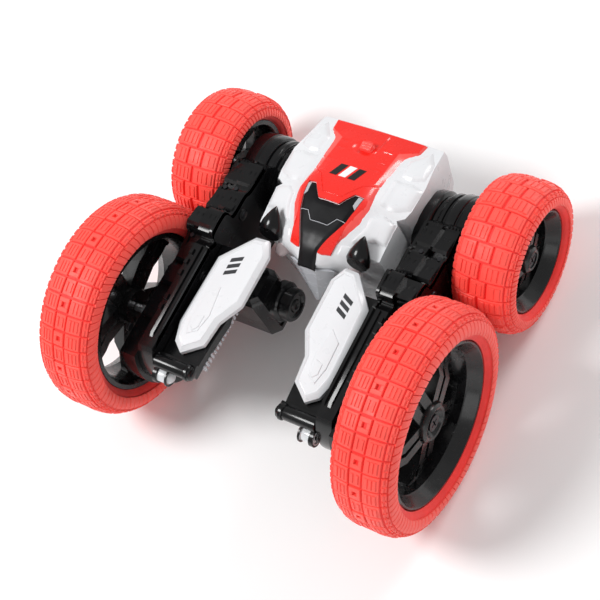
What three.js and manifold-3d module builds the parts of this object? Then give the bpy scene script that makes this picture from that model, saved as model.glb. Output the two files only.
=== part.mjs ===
// Radio-controlled stunt car. Millimetres, +Z up, the nose points to -Y, so the car's left is +X.
// The origin is the middle of the footprint, on the ground. Pieces are drawn for the left side.
import * as THREE from "three";
import { ConvexGeometry } from "three/addons/geometries/ConvexGeometry.js";
import { mergeVertices } from "three/addons/utils/BufferGeometryUtils.js";
import Module from "manifold-3d";

const wasm = await Module();
wasm.setup();

const point2 = (x, y) => new THREE.Vector2(x, y);
const point3 = (x, y, z) => new THREE.Vector3(x, y, z);

// ---- driving dimensions ----
const FRONT_R = 40; // front tyre radius
const REAR_R = 27.5; // rear tyre radius
const WHEELBASE = 69.8;
const HALF_WIDTH = 70.8; // middle of the car to the outer face of a tyre
const GAP = 0.3; // clearance between neighbouring pieces
const WALL = 1.4; // moulded wall

// Axles are points in side view: (y, z).
const FRONT_Y = FRONT_R - (WHEELBASE + FRONT_R + REAR_R) / 2;
const FRONT_AXLE = point2(FRONT_Y, FRONT_R);
const REAR_AXLE = point2(FRONT_Y + WHEELBASE, REAR_R);
const AXLE_R = 1.5;

// ---- wheels ----
const FRONT_WHEEL = {
  axle: FRONT_AXLE, radius: FRONT_R, width: 22.8, rimR: 29.6, shoulder: 4.4, dish: 9.5,
  spokeW: 7.6, segments: 28,
};
const REAR_WHEEL = {
  axle: REAR_AXLE, radius: REAR_R, width: 23.6, rimR: 19, shoulder: 5.4, dish: 9,
  spokeW: 5.2, segments: 24,
};
const SPOKES = 5;
const SPOKE_BACK = 2;
const SPOKE_FRONT = 1.6;
const BEAD = 2.4; // the rim's edges sit this far inside the tyre's faces
const SIDEWALL = 2.6;
const CROWN_DROP = 1;
const RIM_LIP = 2;
const HUB_R = 6;
const HUB_LENGTH = 5;
const SCREW = { headR: 3, headH: 1.4, shankR: 1.1, length: 4.1, slot: 0.6, depth: 0.7 };

// ---- the arm's layers along X ----
const DRUM_X = 25.4; // inner face of the pivot drum
const CASE_X = 33.3; // inner face of the gear case
const SPLIT_X = 39.5; // joint between the two case halves
const CASE_OUT_X = 46; // outer face of the gear case
const ARM_X = CASE_X - GAP; // pieces carried on the inner face end here
const TRAIN_X = 40; // spur gears that reach both axles
const TRAIN_W = 4;
const STAGE_X = 35.2; // first stage, driven by the motor pinion
const STAGE_W = 2.6;

// ---- gear train: front axle, three idlers, rear axle ----
const MODULE = 1.1;
const FRONT_TEETH = 16;
const IDLER_TEETH = [17, 17, 17];
const REAR_TEETH = 11;
const PINION_TEETH = 8;
const STAGE_TEETH = 36;
const MOTOR_AXIS = point2(-3.3, 26);
const POST_R = 1.3;
const SLEEVE_R = 4;

// ---- gear case ----
const DRUM_R = 15;
const FRONT_CASE_R = 21;
const FRONT_COVER_R = 23;
const CASE_TOP_Z = 54;
const COVER_DROP = 2.5; // the outer half is this much lower than the inner half
const CASE_HUMPS = [
  [34, 48], [24, 49], [21, 50.5], [12.5, 51], [10, 57], [2, 57], [0, 52.5], [-3, CASE_TOP_Z],
];
const HUMP_FRONT_Y = 5; // housings behind this line face back, those in front face forward

// ---- motor ----
const MOTOR_BLOCK = { x0: 13.2, x1: ARM_X, y0: -13, y1: 3, z0: 12, z1: 40, corner: 3, rearWall: 1.1 };
const MOTOR_CAP = { x: 6.4, radius: 5.9, stepX: 10.4, stepR: 7, bore: 4 };
const MOTOR_CAN = { radius: 7.8, flat: 4.9, boss: 3, shaft: 1 };

// ---- wing, bracket and lamp on the arm ----
const WING_PLAN = [
  [20.9, 7.9], [30.7, -3.5], [31.4, -22], [31.7, -30.2], [29.5, -37.5], [25.4, -40.8],
  [18.6, -35.3], [17.6, -26], [13, -17.5], [12.8, 2.5], [15.7, 8.2],
];
const WING_Z = [47.6, 49.6, 51.2];
const WING_BEVEL = 1.8;
const BRACKET_PLAN = [[ARM_X, -44], [18, -44], [17.2, -30], [19.5, -14], [24, 2], [ARM_X, 2]];
const BRACKET = { z0: 43.5, z1: 47.2, ribX: 22, ribY0: -42, ribY1: -14, ribZ: 40.4 };
const BAR = { x: 17.6, y: -46, z: 48.4, radius: 2.5 };
const LAMP = { x: 26, y: -48.9, z: 44.1, radius: 2.7 };

// ---- body ----
const SPLIT_Z = 27; // upper shell above, lower shell below
const FLOOR_Z = 10; // underside of the body
const COVER_RISE = 0.7; // the top cover stands proud of the shell
const GLASS_RISE = 0.4;
const COVER_SINK = 1.2;
const HUB_TUBE_R = 8;
const HUB_FLANGE = { x0: 21.2, x1: 22.8, radius: 11, bore: 4.2 };
const DRUM_ROOM_X = 24.8;

// Half sections [x, z]: from the crown, over the shoulder, down the flank, to the floor.
const SECTIONS = [
  { y: 6.4, half: [[0, 46.8], [2, 46.6], [3.2, 46.2], [3.4, 45.4], [3.4, 44], [3.2, 36], [3, 24], [0, 24]] },
  { y: 9.4, half: [[0, 49.4], [3.4, 49.1], [6.8, 47.6], [8.8, 46], [9.6, 43], [9.6, 35], [9.2, 14], [0, 13.5]] },
  { y: 11, half: [[0, 50.4], [4, 50.1], [8.8, 48.8], [12.4, 46.8], [14.4, 43.4], [14.4, 35], [14.4, 12], [0, 11]] },
  { y: 15, half: [[0, 52.2], [6, 51.8], [10, 50.2], [16, 48], [24.5, 47], [25, 44.5], [23, 12], [0, 10]] },
  { y: 26, half: [[0, 54.3], [9, 53.8], [14.6, 51.3], [18, 49.8], [24.6, 48.2], [25.2, 44.5], [23.6, 12], [0, 10]] },
  { y: 31, half: [[0, 54.5], [9, 54], [14.6, 51.6], [18, 49.6], [25, 48.2], [25.6, 44.4], [24, 12], [0, 10]] },
  { y: 36, half: [[0, 53.4], [9, 53], [14.4, 51], [18, 48.6], [26.8, 47.6], [27.2, 44.2], [24, 12], [0, 10]] },
  { y: 46, half: [[0, 49.8], [9, 49.5], [14.4, 48.6], [18, 47.4], [27, 46.8], [28, 44], [24, 12], [0, 10]] },
  { y: 55, half: [[0, 46.9], [9, 46.7], [16, 46], [20, 45.2], [25.5, 44.8], [26.6, 42.6], [24, 14], [0, 12]] },
  { y: 63.5, half: [[0, 43.8], [9, 43.6], [19, 43.2], [21.5, 42.8], [24.6, 42.2], [25.2, 40], [23, 20], [0, 19]] },
];
const SIDE_POINT = 3; // from this point of a section on, the wall is measured along X
const COVER_HALF = [
  [0, 9.4], [5, 9.6], [8.2, 10.6], [8.9, 14.6], [11.2, 18.6], [14.2, 24], [14.8, 30], [13.8, 38],
  [15.2, 54], [18.4, 58.8], [19, 62.8], [0, 62.8],
];
const WINDSHIELD_HALF = [
  [0, 4], [3.2, 5], [3.2, 10], [4.2, 12.5], [9, 22.4], [10.4, 28], [11, 32.8], [8, 32.6],
  [4.2, 27.4], [0, 27.4],
];
const DIVIDER_HALF = [[12, 22.2], [5.9, 22.4], [3.5, 19.3]];
const CHIN_HALF = [
  [9.4, 7.9, 43], [3.2, 5.4, 44.9], [0.8, 1.5, 27], [0.8, 3.6, 26.4],
  [9.2, 9.2, 40], [3, 8, 44.4], [1.5, 7, 28],
];
const EYE = { x: 14.6, y: 10, z: 40.8, radius: 2.5, length: 5 };
const EAR = { x: 18, y: 11.9, z: 48.7, width: 4, height: 3.4, sides: 10, tipY: 19.8, tipZ: 53 };
const BATTERY_DOOR = { x: 13, y0: 22, y1: 54, screwY: 50 };
const CELL = { radius: 7, length: 28, spacing: 6.9, y: 38, z: 19.4 };
const SLOT = { x: 2.6, y0: 50, y1: 56 };
const KNOB = { x: 2.2, y0: 52.2, y1: 55.4, z0: 46, z1: 49.2, stemX: 1.4, stemZ: 41.3 };
const BOARD = { x: 17, y0: 18, y1: 60, z: 34, thick: 1.4 };
const CLEAR_OF_BODY = 40; // half width of a block that contains the whole body
const ABOVE_BODY = 70;

// ---- colours ----
const paint = (color, roughness, metalness = 0) => ({ color, roughness, metalness });
const WHITE = paint(0xf2f3f6, 0.22);
const RED = paint(0xe8352f, 0.35);
const BLACK = paint(0x0b0b0c, 0.15);
const SATIN = paint(0x1a1a1c, 0.4);
const GREY = paint(0xb9b9bd, 0.3);
const TYRE = paint(0xff5a50, 0.7);
const STEEL = paint(0x9a9ca0, 0.3, 1);
const NYLON = paint(0xe9e6dc, 0.5);
const CLEAR = paint(0xe8eef2, 0.08);
const GREEN = paint(0x1d6b3a, 0.5);
const BLUE = paint(0x2b5fae, 0.4);

const car = new THREE.Group();

function addPiece(name, geometry, look) {
  const mesh = new THREE.Mesh(geometry, new THREE.MeshStandardMaterial(look));
  mesh.name = name;
  car.add(mesh);
}

// ---- solids and booleans ----
function welded(geometry) {
  const plain = geometry.clone();
  for (const key of Object.keys(plain.attributes)) {
    if (key !== "position") plain.deleteAttribute(key);
  }
  return mergeVertices(plain, 1e-4);
}

function solid(geometry) {
  const plain = welded(geometry);
  return new wasm.Manifold(new wasm.Mesh({
    numProp: 3,
    vertProperties: new Float32Array(plain.attributes.position.array),
    triVerts: new Uint32Array(plain.index.array),
  }));
}

function indexed(positions, index) {
  const geometry = new THREE.BufferGeometry();
  geometry.setAttribute("position", new THREE.Float32BufferAttribute(positions, 3));
  geometry.setIndex(index);
  return geometry;
}

function geometryOf(manifold) {
  const mesh = manifold.getMesh();
  return indexed(Array.from(mesh.vertProperties), Array.from(mesh.triVerts));
}

function join(...geometries) {
  return geometryOf(geometries.map(solid).reduce((sum, piece) => sum.add(piece)));
}

function cut(geometry, ...tools) {
  return geometryOf(tools.map(solid).reduce((rest, tool) => rest.subtract(tool), solid(geometry)));
}

function common(geometry, tool) {
  return geometryOf(solid(geometry).intersect(solid(tool)));
}

function mirrored(geometry) {
  const copy = welded(geometry);
  copy.scale(-1, 1, 1);
  const index = copy.index.array;
  for (let i = 0; i < index.length; i += 3) {
    [index[i + 1], index[i + 2]] = [index[i + 2], index[i + 1]];
  }
  return copy;
}

function onBothSides(geometry) {
  return [geometry, mirrored(geometry)];
}

// ---- shapes ----
function box(x0, x1, y0, y1, z0, z1) {
  const geometry = new THREE.BoxGeometry(x1 - x0, y1 - y0, z1 - z0);
  return geometry.translate((x0 + x1) / 2, (y0 + y1) / 2, (z0 + z1) / 2);
}

// A shape drawn in side view (Y across, Z up), extruded along X.
function sidePlate(shape, x0, x1, curveSegments = 6) {
  const settings = { depth: x1 - x0, bevelEnabled: false, curveSegments };
  const basis = new THREE.Matrix4().makeBasis(point3(0, 1, 0), point3(0, 0, 1), point3(1, 0, 0));
  return new THREE.ExtrudeGeometry(shape, settings).applyMatrix4(basis).translate(x0, 0, 0);
}

// A shape drawn in plan (X across, Y back), extruded up.
function planPlate(points, z0, z1) {
  const settings = { depth: z1 - z0, bevelEnabled: false };
  return new THREE.ExtrudeGeometry(new THREE.Shape(points), settings).translate(0, 0, z0);
}

// A solid of revolution about a line parallel to X. Profile points are (x, radius).
function turned(profile, centre, segments = 24) {
  const geometry = new THREE.LatheGeometry(profile.map(([x, r]) => point2(r, x)), segments);
  const basis = new THREE.Matrix4().makeBasis(point3(0, 1, 0), point3(1, 0, 0), point3(0, 0, -1));
  return geometry.applyMatrix4(basis).translate(0, centre.x, centre.y);
}

function rod(x0, x1, radius, centre, segments = 12) {
  return turned([[x0, 0], [x0, radius], [x1, radius], [x1, 0]], centre, segments);
}

function rodY(y0, y1, radius, x, z, segments = 14) {
  const geometry = new THREE.CylinderGeometry(radius, radius, y1 - y0, segments);
  return geometry.translate(x, (y0 + y1) / 2, z);
}

function rodZ(z0, z1, radius, x, y, segments = 14) {
  const geometry = new THREE.CylinderGeometry(radius, radius, z1 - z0, segments);
  return geometry.rotateX(Math.PI / 2).translate(x, y, (z0 + z1) / 2);
}

function mirrorPoints(half) {
  const other = half.filter(([x]) => x > 0).map(([x, y]) => [-x, y]).reverse();
  return [...half, ...other].map(([x, y]) => point2(x, y));
}

function grown(points, amount) {
  const count = points.length;
  const outward = amount * Math.sign(THREE.ShapeUtils.area(points));
  return points.map((here, i) => {
    const before = here.clone().sub(points[(i + count - 1) % count]).normalize();
    const after = points[(i + 1) % count].clone().sub(here).normalize();
    const normal = point2(before.y + after.y, -(before.x + after.x)).normalize();
    const reach = Math.max(0.5, normal.dot(point2(after.y, -after.x)));
    return here.clone().addScaledVector(normal, outward / reach);
  });
}

// Side faces between rings that all have the same number of points.
function skin(rings, count) {
  const index = [];
  for (let i = 0; i + 1 < rings; i += 1) {
    for (let j = 0; j < count; j += 1) {
      const a = i * count + j;
      const b = i * count + ((j + 1) % count);
      index.push(a, b, b + count, a, b + count, a + count);
    }
  }
  return index;
}

// A solid through rings of points, closed by the flat outlines of the first and last.
// `firstFacing` says whether the first outline, read through `flat`, already faces outward.
function lofted(rings, flat, firstFacing) {
  const count = rings[0].length;
  const index = skin(rings.length, count);
  for (const [ring, flip] of [[0, !firstFacing], [rings.length - 1, firstFacing]]) {
    for (const corners of THREE.ShapeUtils.triangulateShape(rings[ring].map(flat), [])) {
      const face = corners.map((k) => ring * count + k);
      index.push(...(flip ? face.reverse() : face));
    }
  }
  return indexed(rings.flat().flatMap((p) => [p.x, p.y, p.z]), index);
}

// ---- wheels ----
function tyreGeometry(wheel) {
  const { radius, rimR, width } = wheel;
  const inner = HALF_WIDTH - width;
  const outer = HALF_WIDTH;
  const middle = (inner + outer) / 2;
  const wide = width * 0.375;
  const narrow = width * 0.125;
  const side = radius - wheel.shoulder;
  return turned([
    [inner + BEAD, rimR], [inner, side - SIDEWALL], [inner, side], [middle - wide, radius - CROWN_DROP],
    [middle - narrow, radius], [middle + narrow, radius], [middle + wide, radius - CROWN_DROP],
    [outer, side], [outer, side - SIDEWALL], [outer - BEAD, rimR], [inner + BEAD, rimR],
  ], wheel.axle, wheel.segments);
}

function rimGeometry(wheel) {
  const seat = wheel.rimR - GAP;
  const x0 = HALF_WIDTH - wheel.width + BEAD;
  const x1 = HALF_WIDTH - BEAD;
  const face = HALF_WIDTH - wheel.dish;
  const bore = AXLE_R + GAP;
  const barrel = turned([
    [x0, seat], [x1, seat], [x1, seat - RIM_LIP], [face + 2, seat - RIM_LIP - 1],
    [x0, seat - RIM_LIP], [x0, seat],
  ], wheel.axle);
  const hub = turned([
    [face - HUB_LENGTH, bore], [face - HUB_LENGTH, HUB_R - 0.8], [face, HUB_R], [face + 2.6, HUB_R],
    [face + 2.6, bore], [face - HUB_LENGTH, bore],
  ], wheel.axle, 16);
  const half = wheel.spokeW / 2;
  const spokes = Array.from({ length: SPOKES }, (unused, i) => {
    const spoke = box(face - SPOKE_BACK, face + SPOKE_FRONT, -half, half, HUB_R - 1, seat - 1.4);
    return spoke.rotateX((i * 2 * Math.PI) / SPOKES).translate(0, wheel.axle.x, wheel.axle.y);
  });
  return join(barrel, hub, ...spokes);
}

function hubScrew(wheel) {
  const x0 = HALF_WIDTH - wheel.dish + GAP;
  const x1 = x0 + SCREW.length;
  const arm = SCREW.headR * 0.6;
  const half = SCREW.slot / 2;
  const { x: y, y: z } = wheel.axle;
  const head = rod(x1 - SCREW.headH, x1, SCREW.headR, wheel.axle);
  const shank = rod(x0, x1 - SCREW.headH + 0.2, SCREW.shankR, wheel.axle, 8);
  const across = box(x1 - SCREW.depth, x1 + 1, y - arm, y + arm, z - half, z + half);
  const upright = box(x1 - SCREW.depth, x1 + 1, y - half, y + half, z - arm, z + arm);
  return cut(join(head, shank), across, upright);
}

function axleRod(wheel) {
  return rod(CASE_X + 0.2, HALF_WIDTH - wheel.dish, AXLE_R, wheel.axle, 10);
}

// ---- gears ----
function gearShape(teeth, module, centre, turn, bore) {
  const shape = new THREE.Shape();
  const pitchAngle = (2 * Math.PI) / teeth;
  const tip = (teeth / 2 + 0.8) * module;
  const root = (teeth / 2 - 1.15) * module;
  const corners = [[-0.31, root], [-0.1, tip], [0.1, tip], [0.31, root]];
  const outline = Array.from({ length: teeth }, (unused, i) => corners.map(([share, radius]) => {
    const angle = turn + (i + share) * pitchAngle;
    return point2(centre.x + radius * Math.cos(angle), centre.y + radius * Math.sin(angle));
  })).flat();
  shape.setFromPoints(outline);
  const hole = new THREE.Path();
  hole.absarc(centre.x, centre.y, bore, 0, 2 * Math.PI, true);
  shape.holes.push(hole);
  return shape;
}

function trainGear(teeth, centre, turn, bore) {
  return sidePlate(gearShape(teeth, MODULE, centre, turn, bore), TRAIN_X, TRAIN_X + TRAIN_W);
}

// The turn of a driven gear that puts its gaps on the driver's teeth.
function meshedTurn(driver, driverTeeth, driverTurn, driven, drivenTeeth) {
  const line = driven.clone().sub(driver).angle();
  const phase = driverTeeth * (line - driverTurn);
  return line + Math.PI - (Math.PI - phase) / drivenTeeth;
}

// Idler centres: bowed below the line of the axles, so that neighbouring gears just mesh.
function idlerCentres() {
  const along = REAR_AXLE.clone().sub(FRONT_AXLE);
  const radii = [FRONT_TEETH, ...IDLER_TEETH, REAR_TEETH].map((teeth) => (teeth * MODULE) / 2);
  const first = radii[0] + radii[1];
  const last = radii[3] + radii[4];
  const middle = radii[1] + 2 * radii[2] + radii[3];
  const slope = Math.acos((along.length() - middle) / (first + last));
  const towards = along.normalize();
  const down = point2(towards.y, -towards.x);
  const frontIdler = FRONT_AXLE.clone().addScaledVector(towards, first * Math.cos(slope));
  frontIdler.addScaledVector(down, first * Math.sin(slope));
  const rearIdler = REAR_AXLE.clone().addScaledVector(towards, -last * Math.cos(slope));
  rearIdler.addScaledVector(down, last * Math.sin(slope));
  const middleIdler = frontIdler.clone().lerp(rearIdler, (radii[1] + radii[2]) / middle);
  return [frontIdler, middleIdler, rearIdler];
}

const IDLERS = idlerCentres();
const STAGE_MODULE = (2 * IDLERS[0].distanceTo(MOTOR_AXIS)) / (PINION_TEETH + STAGE_TEETH);

function trainTurns() {
  const centres = [FRONT_AXLE, ...IDLERS, REAR_AXLE];
  const teeth = [FRONT_TEETH, ...IDLER_TEETH, REAR_TEETH];
  const turns = [0];
  for (let i = 1; i < centres.length; i += 1) {
    turns.push(meshedTurn(centres[i - 1], teeth[i - 1], turns[i - 1], centres[i], teeth[i]));
  }
  return turns;
}

function motorPinion() {
  const turn = meshedTurn(IDLERS[0], STAGE_TEETH, 0, MOTOR_AXIS, PINION_TEETH);
  const shape = gearShape(PINION_TEETH, STAGE_MODULE, MOTOR_AXIS, turn, MOTOR_CAN.shaft - 0.4);
  const shaft = rod(CASE_X - 2.6, STAGE_X + STAGE_W + 0.5, MOTOR_CAN.shaft, MOTOR_AXIS);
  return join(sidePlate(shape, STAGE_X, STAGE_X + STAGE_W), shaft);
}

function firstIdler(turn) {
  const bore = POST_R + GAP;
  const small = trainGear(IDLER_TEETH[0], IDLERS[0], turn, bore);
  const stage = gearShape(STAGE_TEETH, STAGE_MODULE, IDLERS[0], 0, bore);
  const sleeve = turned([
    [STAGE_X, bore], [STAGE_X, SLEEVE_R], [TRAIN_X + 1, SLEEVE_R], [TRAIN_X + 1, bore], [STAGE_X, bore],
  ], IDLERS[0], 12);
  return join(small, sidePlate(stage, STAGE_X, STAGE_X + STAGE_W), sleeve);
}

// ---- the side arm ----
// Side view of the gear case: a round end about each axle, a flat top and raised housings.
function caseShape(frontR, drumR, drop, inset) {
  const bottom = FRONT_AXLE.clone().sub(REAR_AXLE);
  const lean = bottom.angle() + Math.asin((frontR - drumR) / bottom.length());
  const touch = lean + Math.PI / 2;
  const top = CASE_TOP_Z - drop - inset;
  const clip = Math.asin((top - FRONT_R) / frontR);
  const shape = new THREE.Shape();
  shape.absarc(FRONT_AXLE.x, FRONT_AXLE.y, frontR, Math.PI - clip, touch, false);
  shape.absarc(REAR_AXLE.x, REAR_AXLE.y, drumR, touch, 2 * Math.PI + 1.75, false);
  for (const [y, z] of CASE_HUMPS) {
    shape.lineTo(y + (y > HUMP_FRONT_Y ? -inset : inset), z - drop - inset);
  }
  shape.closePath();
  return shape;
}

function caseCavity(drop, x0, x1) {
  return sidePlate(caseShape(FRONT_CASE_R - WALL, DRUM_R - 1 - WALL, drop, WALL), x0, x1, 9);
}

function innerCase() {
  const plate = sidePlate(caseShape(FRONT_CASE_R, DRUM_R - 1, 0, 0), CASE_X, SPLIT_X - GAP / 2, 9);
  const drum = rod(DRUM_X, CASE_X + 1, DRUM_R - 1, REAR_AXLE, 24);
  const motorHole = rod(CASE_X - 1, STAGE_X, MOTOR_CAN.boss + 0.4, MOTOR_AXIS);
  const axleHole = rod(CASE_X - 1, STAGE_X, AXLE_R + GAP, FRONT_AXLE);
  const drumBore = rod(DRUM_X - 1, CASE_X + WALL + 1, HUB_TUBE_R + GAP, REAR_AXLE, 20);
  const cavity = caseCavity(0, CASE_X + WALL, SPLIT_X + 1);
  const hollow = cut(join(plate, drum), cavity, motorHole, axleHole, drumBore);
  const postX = CASE_X + 0.4;
  const posts = IDLERS.map((centre) => rod(postX, TRAIN_X + TRAIN_W, POST_R, centre, 8));
  const shoulders = IDLERS.slice(1).map((centre) => rod(postX, TRAIN_X - GAP, POST_R + 1.4, centre, 8));
  return join(hollow, ...posts, ...shoulders);
}

function outerCase() {
  const shape = caseShape(FRONT_COVER_R, DRUM_R, COVER_DROP, 0);
  const plate = sidePlate(shape, SPLIT_X + GAP / 2, CASE_OUT_X, 9);
  const cavity = caseCavity(COVER_DROP, SPLIT_X - 1, CASE_OUT_X - WALL);
  const holes = [FRONT_AXLE, REAR_AXLE].map((axle) => rod(SPLIT_X, CASE_OUT_X + 1, AXLE_R + GAP, axle));
  return cut(plate, cavity, ...holes);
}

function wingCover() {
  const outline = WING_PLAN.map(([x, y]) => point2(x, y)).reverse();
  const rings = [outline, outline, grown(outline, -WING_BEVEL)];
  const raised = rings.map((ring, i) => ring.map((p) => point3(p.x, p.y, WING_Z[i])));
  return lofted(raised, (p) => point2(p.x, p.y), false);
}

function armBracket() {
  const b = BRACKET;
  const outline = BRACKET_PLAN.map(([x, y]) => point2(x, y)).reverse();
  const deck = planPlate(outline, b.z0, b.z1);
  const rib = box(b.ribX, ARM_X, b.ribY0, b.ribY1, b.ribZ, b.z0 + 0.5);
  const bar = rod(BAR.x, ARM_X, BAR.radius, point2(BAR.y, BAR.z), 16);
  const fork = box(BAR.x, ARM_X, BAR.y, BAR.y + 3, b.z0 + 1.5, BAR.z);
  const lampHole = rod(LAMP.x - 1, CASE_X + 1, LAMP.radius + 0.4, point2(LAMP.y, LAMP.z), 16);
  return cut(join(deck, rib, bar, fork), lampHole);
}

function lampLens() {
  const { x, radius } = LAMP;
  const profile = [[x, 0], [x + 0.6, radius - 1], [x + 2, radius], [ARM_X, radius], [ARM_X, 0]];
  return turned(profile, point2(LAMP.y, LAMP.z), 12);
}

function motorHousing() {
  const b = MOTOR_BLOCK;
  const plan = [
    [b.x0, b.y0 + b.corner], [b.x0 + b.corner, b.y0], [b.x1, b.y0],
    [b.x1, b.y1], [b.x0 + b.corner, b.y1], [b.x0, b.y1 - b.corner],
  ];
  const block = planPlate(plan.map(([x, y]) => point2(x, y)), b.z0, b.z1);
  const cap = rod(MOTOR_CAP.x, b.x0 + 1, MOTOR_CAP.radius, MOTOR_AXIS, 20);
  const step = rod(MOTOR_CAP.stepX, b.x0 + 1, MOTOR_CAP.stepR, MOTOR_AXIS, 20);
  const room = box(b.x0 + WALL + 1, b.x1 + 1, b.y0 + WALL, b.y1 - b.rearWall, b.z0 + WALL, b.z1 - WALL);
  const capRoom = rod(MOTOR_CAP.x + WALL, b.x0 + 3, MOTOR_CAP.bore, MOTOR_AXIS, 16);
  return cut(join(block, cap, step), room, capRoom);
}

function driveMotor() {
  const { radius, flat, boss, shaft } = MOTOR_CAN;
  const canX = MOTOR_BLOCK.x0 + WALL + 1 + GAP;
  const can = rod(canX, ARM_X, radius, MOTOR_AXIS, 20);
  const flats = box(0, CASE_OUT_X, MOTOR_AXIS.x - flat, MOTOR_AXIS.x + flat, 0, ABOVE_BODY);
  const tail = rod(MOTOR_CAP.x + WALL + GAP, canX + 1, boss, MOTOR_AXIS);
  const nose = rod(CASE_X - 1, CASE_X + WALL, boss, MOTOR_AXIS);
  const shaftRoom = rod(CASE_X - 3, CASE_OUT_X, shaft + 0.5, MOTOR_AXIS);
  return cut(join(common(can, flats), tail, nose), shaftRoom);
}

// ---- the body ----
function insetSection(half, inset) {
  const last = half.length - 1;
  return half.map(([x, z], i) => {
    const rise = i <= SIDE_POINT + 1 ? -inset : i >= last - 1 ? inset : 0;
    const inward = i >= SIDE_POINT && i < last ? Math.min(inset, x) : 0;
    return [x - inward, z + rise];
  });
}

function bodyLoft(inset = 0) {
  const rings = SECTIONS.map(({ y, half }, i) => {
    const shift = i === 0 ? inset : i === SECTIONS.length - 1 ? -inset : 0;
    const right = insetSection(half, inset);
    const left = right.slice(1, -1).map(([x, z]) => [-x, z]).reverse();
    return [...right, ...left].map(([x, z]) => point3(x, y + shift, z));
  });
  return lofted(rings, (p) => point2(p.x, p.z), true);
}

const raisedBody = (rise) => bodyLoft().translate(0, 0, rise);
const coverOutline = mirrorPoints(COVER_HALF);
const windshieldOutline = mirrorPoints(WINDSHIELD_HALF);

// The layer of the body's crown inside a plan outline, between two offsets of its surface.
function crownLayer(outline, low, high) {
  const prism = planPlate(outline, SPLIT_Z, ABOVE_BODY);
  return cut(common(prism, raisedBody(high)), raisedBody(low));
}

function bodyHalf(z0, z1) {
  return common(bodyLoft(), box(-CLEAR_OF_BODY, CLEAR_OF_BODY, 0, 2 * CLEAR_OF_BODY, z0, z1));
}

// The hubs pass the flanks, and the arms' drums turn under their overhang.
function armRoom() {
  const opening = rod(DRUM_R, CLEAR_OF_BODY, HUB_TUBE_R + GAP, REAR_AXLE, 20);
  const drum = rod(DRUM_ROOM_X, CLEAR_OF_BODY, DRUM_R, REAR_AXLE, 24);
  return [...onBothSides(opening), ...onBothSides(drum)];
}

function switchSlot() {
  return box(-SLOT.x, SLOT.x, SLOT.y0, SLOT.y1, SPLIT_Z, ABOVE_BODY);
}

function upperShell() {
  const pockets = [coverOutline, windshieldOutline].map((outline) => {
    return cut(planPlate(grown(outline, GAP), SPLIT_Z, ABOVE_BODY), raisedBody(-COVER_SINK - GAP));
  });
  const inside = bodyLoft(WALL).translate(0, 0, -COVER_SINK);
  const eyeHole = rodY(0, EYE.y + EYE.length + 0.4, EYE.radius + GAP, EYE.x, EYE.z);
  const fittings = [...onBothSides(eyeHole), ...onBothSides(earPod(GAP)), switchSlot()];
  return cut(bodyHalf(SPLIT_Z + GAP / 2, ABOVE_BODY), inside, ...pockets, ...fittings, ...armRoom());
}

function lowerShell() {
  const d = BATTERY_DOOR;
  const doorway = box(-d.x - GAP, d.x + GAP, d.y0 - GAP, d.y1 + GAP, 0, FLOOR_Z + 3 * WALL);
  return cut(bodyHalf(0, SPLIT_Z - GAP / 2), bodyLoft(WALL), doorway, ...armRoom());
}

function topCover() {
  const layer = crownLayer(coverOutline, -COVER_SINK, COVER_RISE);
  return cut(layer, planPlate(grown(windshieldOutline, GAP), SPLIT_Z, ABOVE_BODY), switchSlot());
}

// The windshield is split by a stepped line; `shift` moves that line to leave the gap.
function windshield(shift, farY) {
  const right = DIVIDER_HALF.map(([x, y]) => point2(x, y + shift));
  const left = right.map((p) => point2(-p.x, p.y)).reverse();
  const edge = [...right, ...left];
  const mask = [...edge, point2(-CLEAR_OF_BODY, farY), point2(CLEAR_OF_BODY, farY)];
  const layer = crownLayer(windshieldOutline, -COVER_SINK, GLASS_RISE);
  return common(layer, planPlate(mask, SPLIT_Z, ABOVE_BODY));
}

// The pointed chin under the windshield: a keel and two swept sides.
function noseChin() {
  const points = CHIN_HALF.flatMap(([x, y, z]) => [point3(x, y, z), point3(-x, y, z)]);
  return cut(new ConvexGeometry(points), bodyLoft().translate(0, -GAP, 0));
}

// A pointed pod on the front shoulder: a round mouth drawn back to a tip.
function earPod(spread) {
  const points = [];
  for (let i = 0; i < EAR.sides; i += 1) {
    const angle = (i * 2 * Math.PI) / EAR.sides;
    const across = (EAR.width + spread) * Math.cos(angle);
    const up = (EAR.height + spread) * Math.sin(angle);
    points.push(point3(EAR.x + across, EAR.y - spread + 0.16 * up, EAR.z + up));
    points.push(point3(EAR.x + 0.8 * across, EAR.y + 3 + 0.1 * up, EAR.z + 0.7 + 0.86 * up));
  }
  points.push(point3(EAR.x, EAR.tipY + spread, EAR.tipZ + spread));
  points.push(point3(EAR.x, EAR.tipY - 0.6 + spread, EAR.tipZ - 2.6 - spread));
  return new ConvexGeometry(points);
}

function eyeLamp() {
  const dome = new THREE.SphereGeometry(EYE.radius, 10, 5).translate(EYE.x, EYE.y, EYE.z);
  return join(dome, rodY(EYE.y, EYE.y + EYE.length, EYE.radius, EYE.x, EYE.z, 10));
}

function pivotHub() {
  const { x0, x1, radius, bore } = HUB_FLANGE;
  const end = CASE_X + WALL - 0.4;
  return turned([
    [x0, bore], [x0, radius], [x1, radius], [x1, HUB_TUBE_R], [end, HUB_TUBE_R], [end, bore], [x0, bore],
  ], REAR_AXLE, 20);
}

function batteryDoor() {
  const d = BATTERY_DOOR;
  const plate = box(-d.x, d.x, d.y0, d.y1, FLOOR_Z, FLOOR_Z + WALL);
  const grips = [4, 6, 8].map((y) => box(-5, 5, d.y0 + y, d.y0 + y + 0.8, 0, FLOOR_Z + 0.5));
  return cut(plate, ...grips, rodZ(0, FLOOR_Z + 3, SCREW.shankR + GAP, 0, d.screwY));
}

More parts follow.
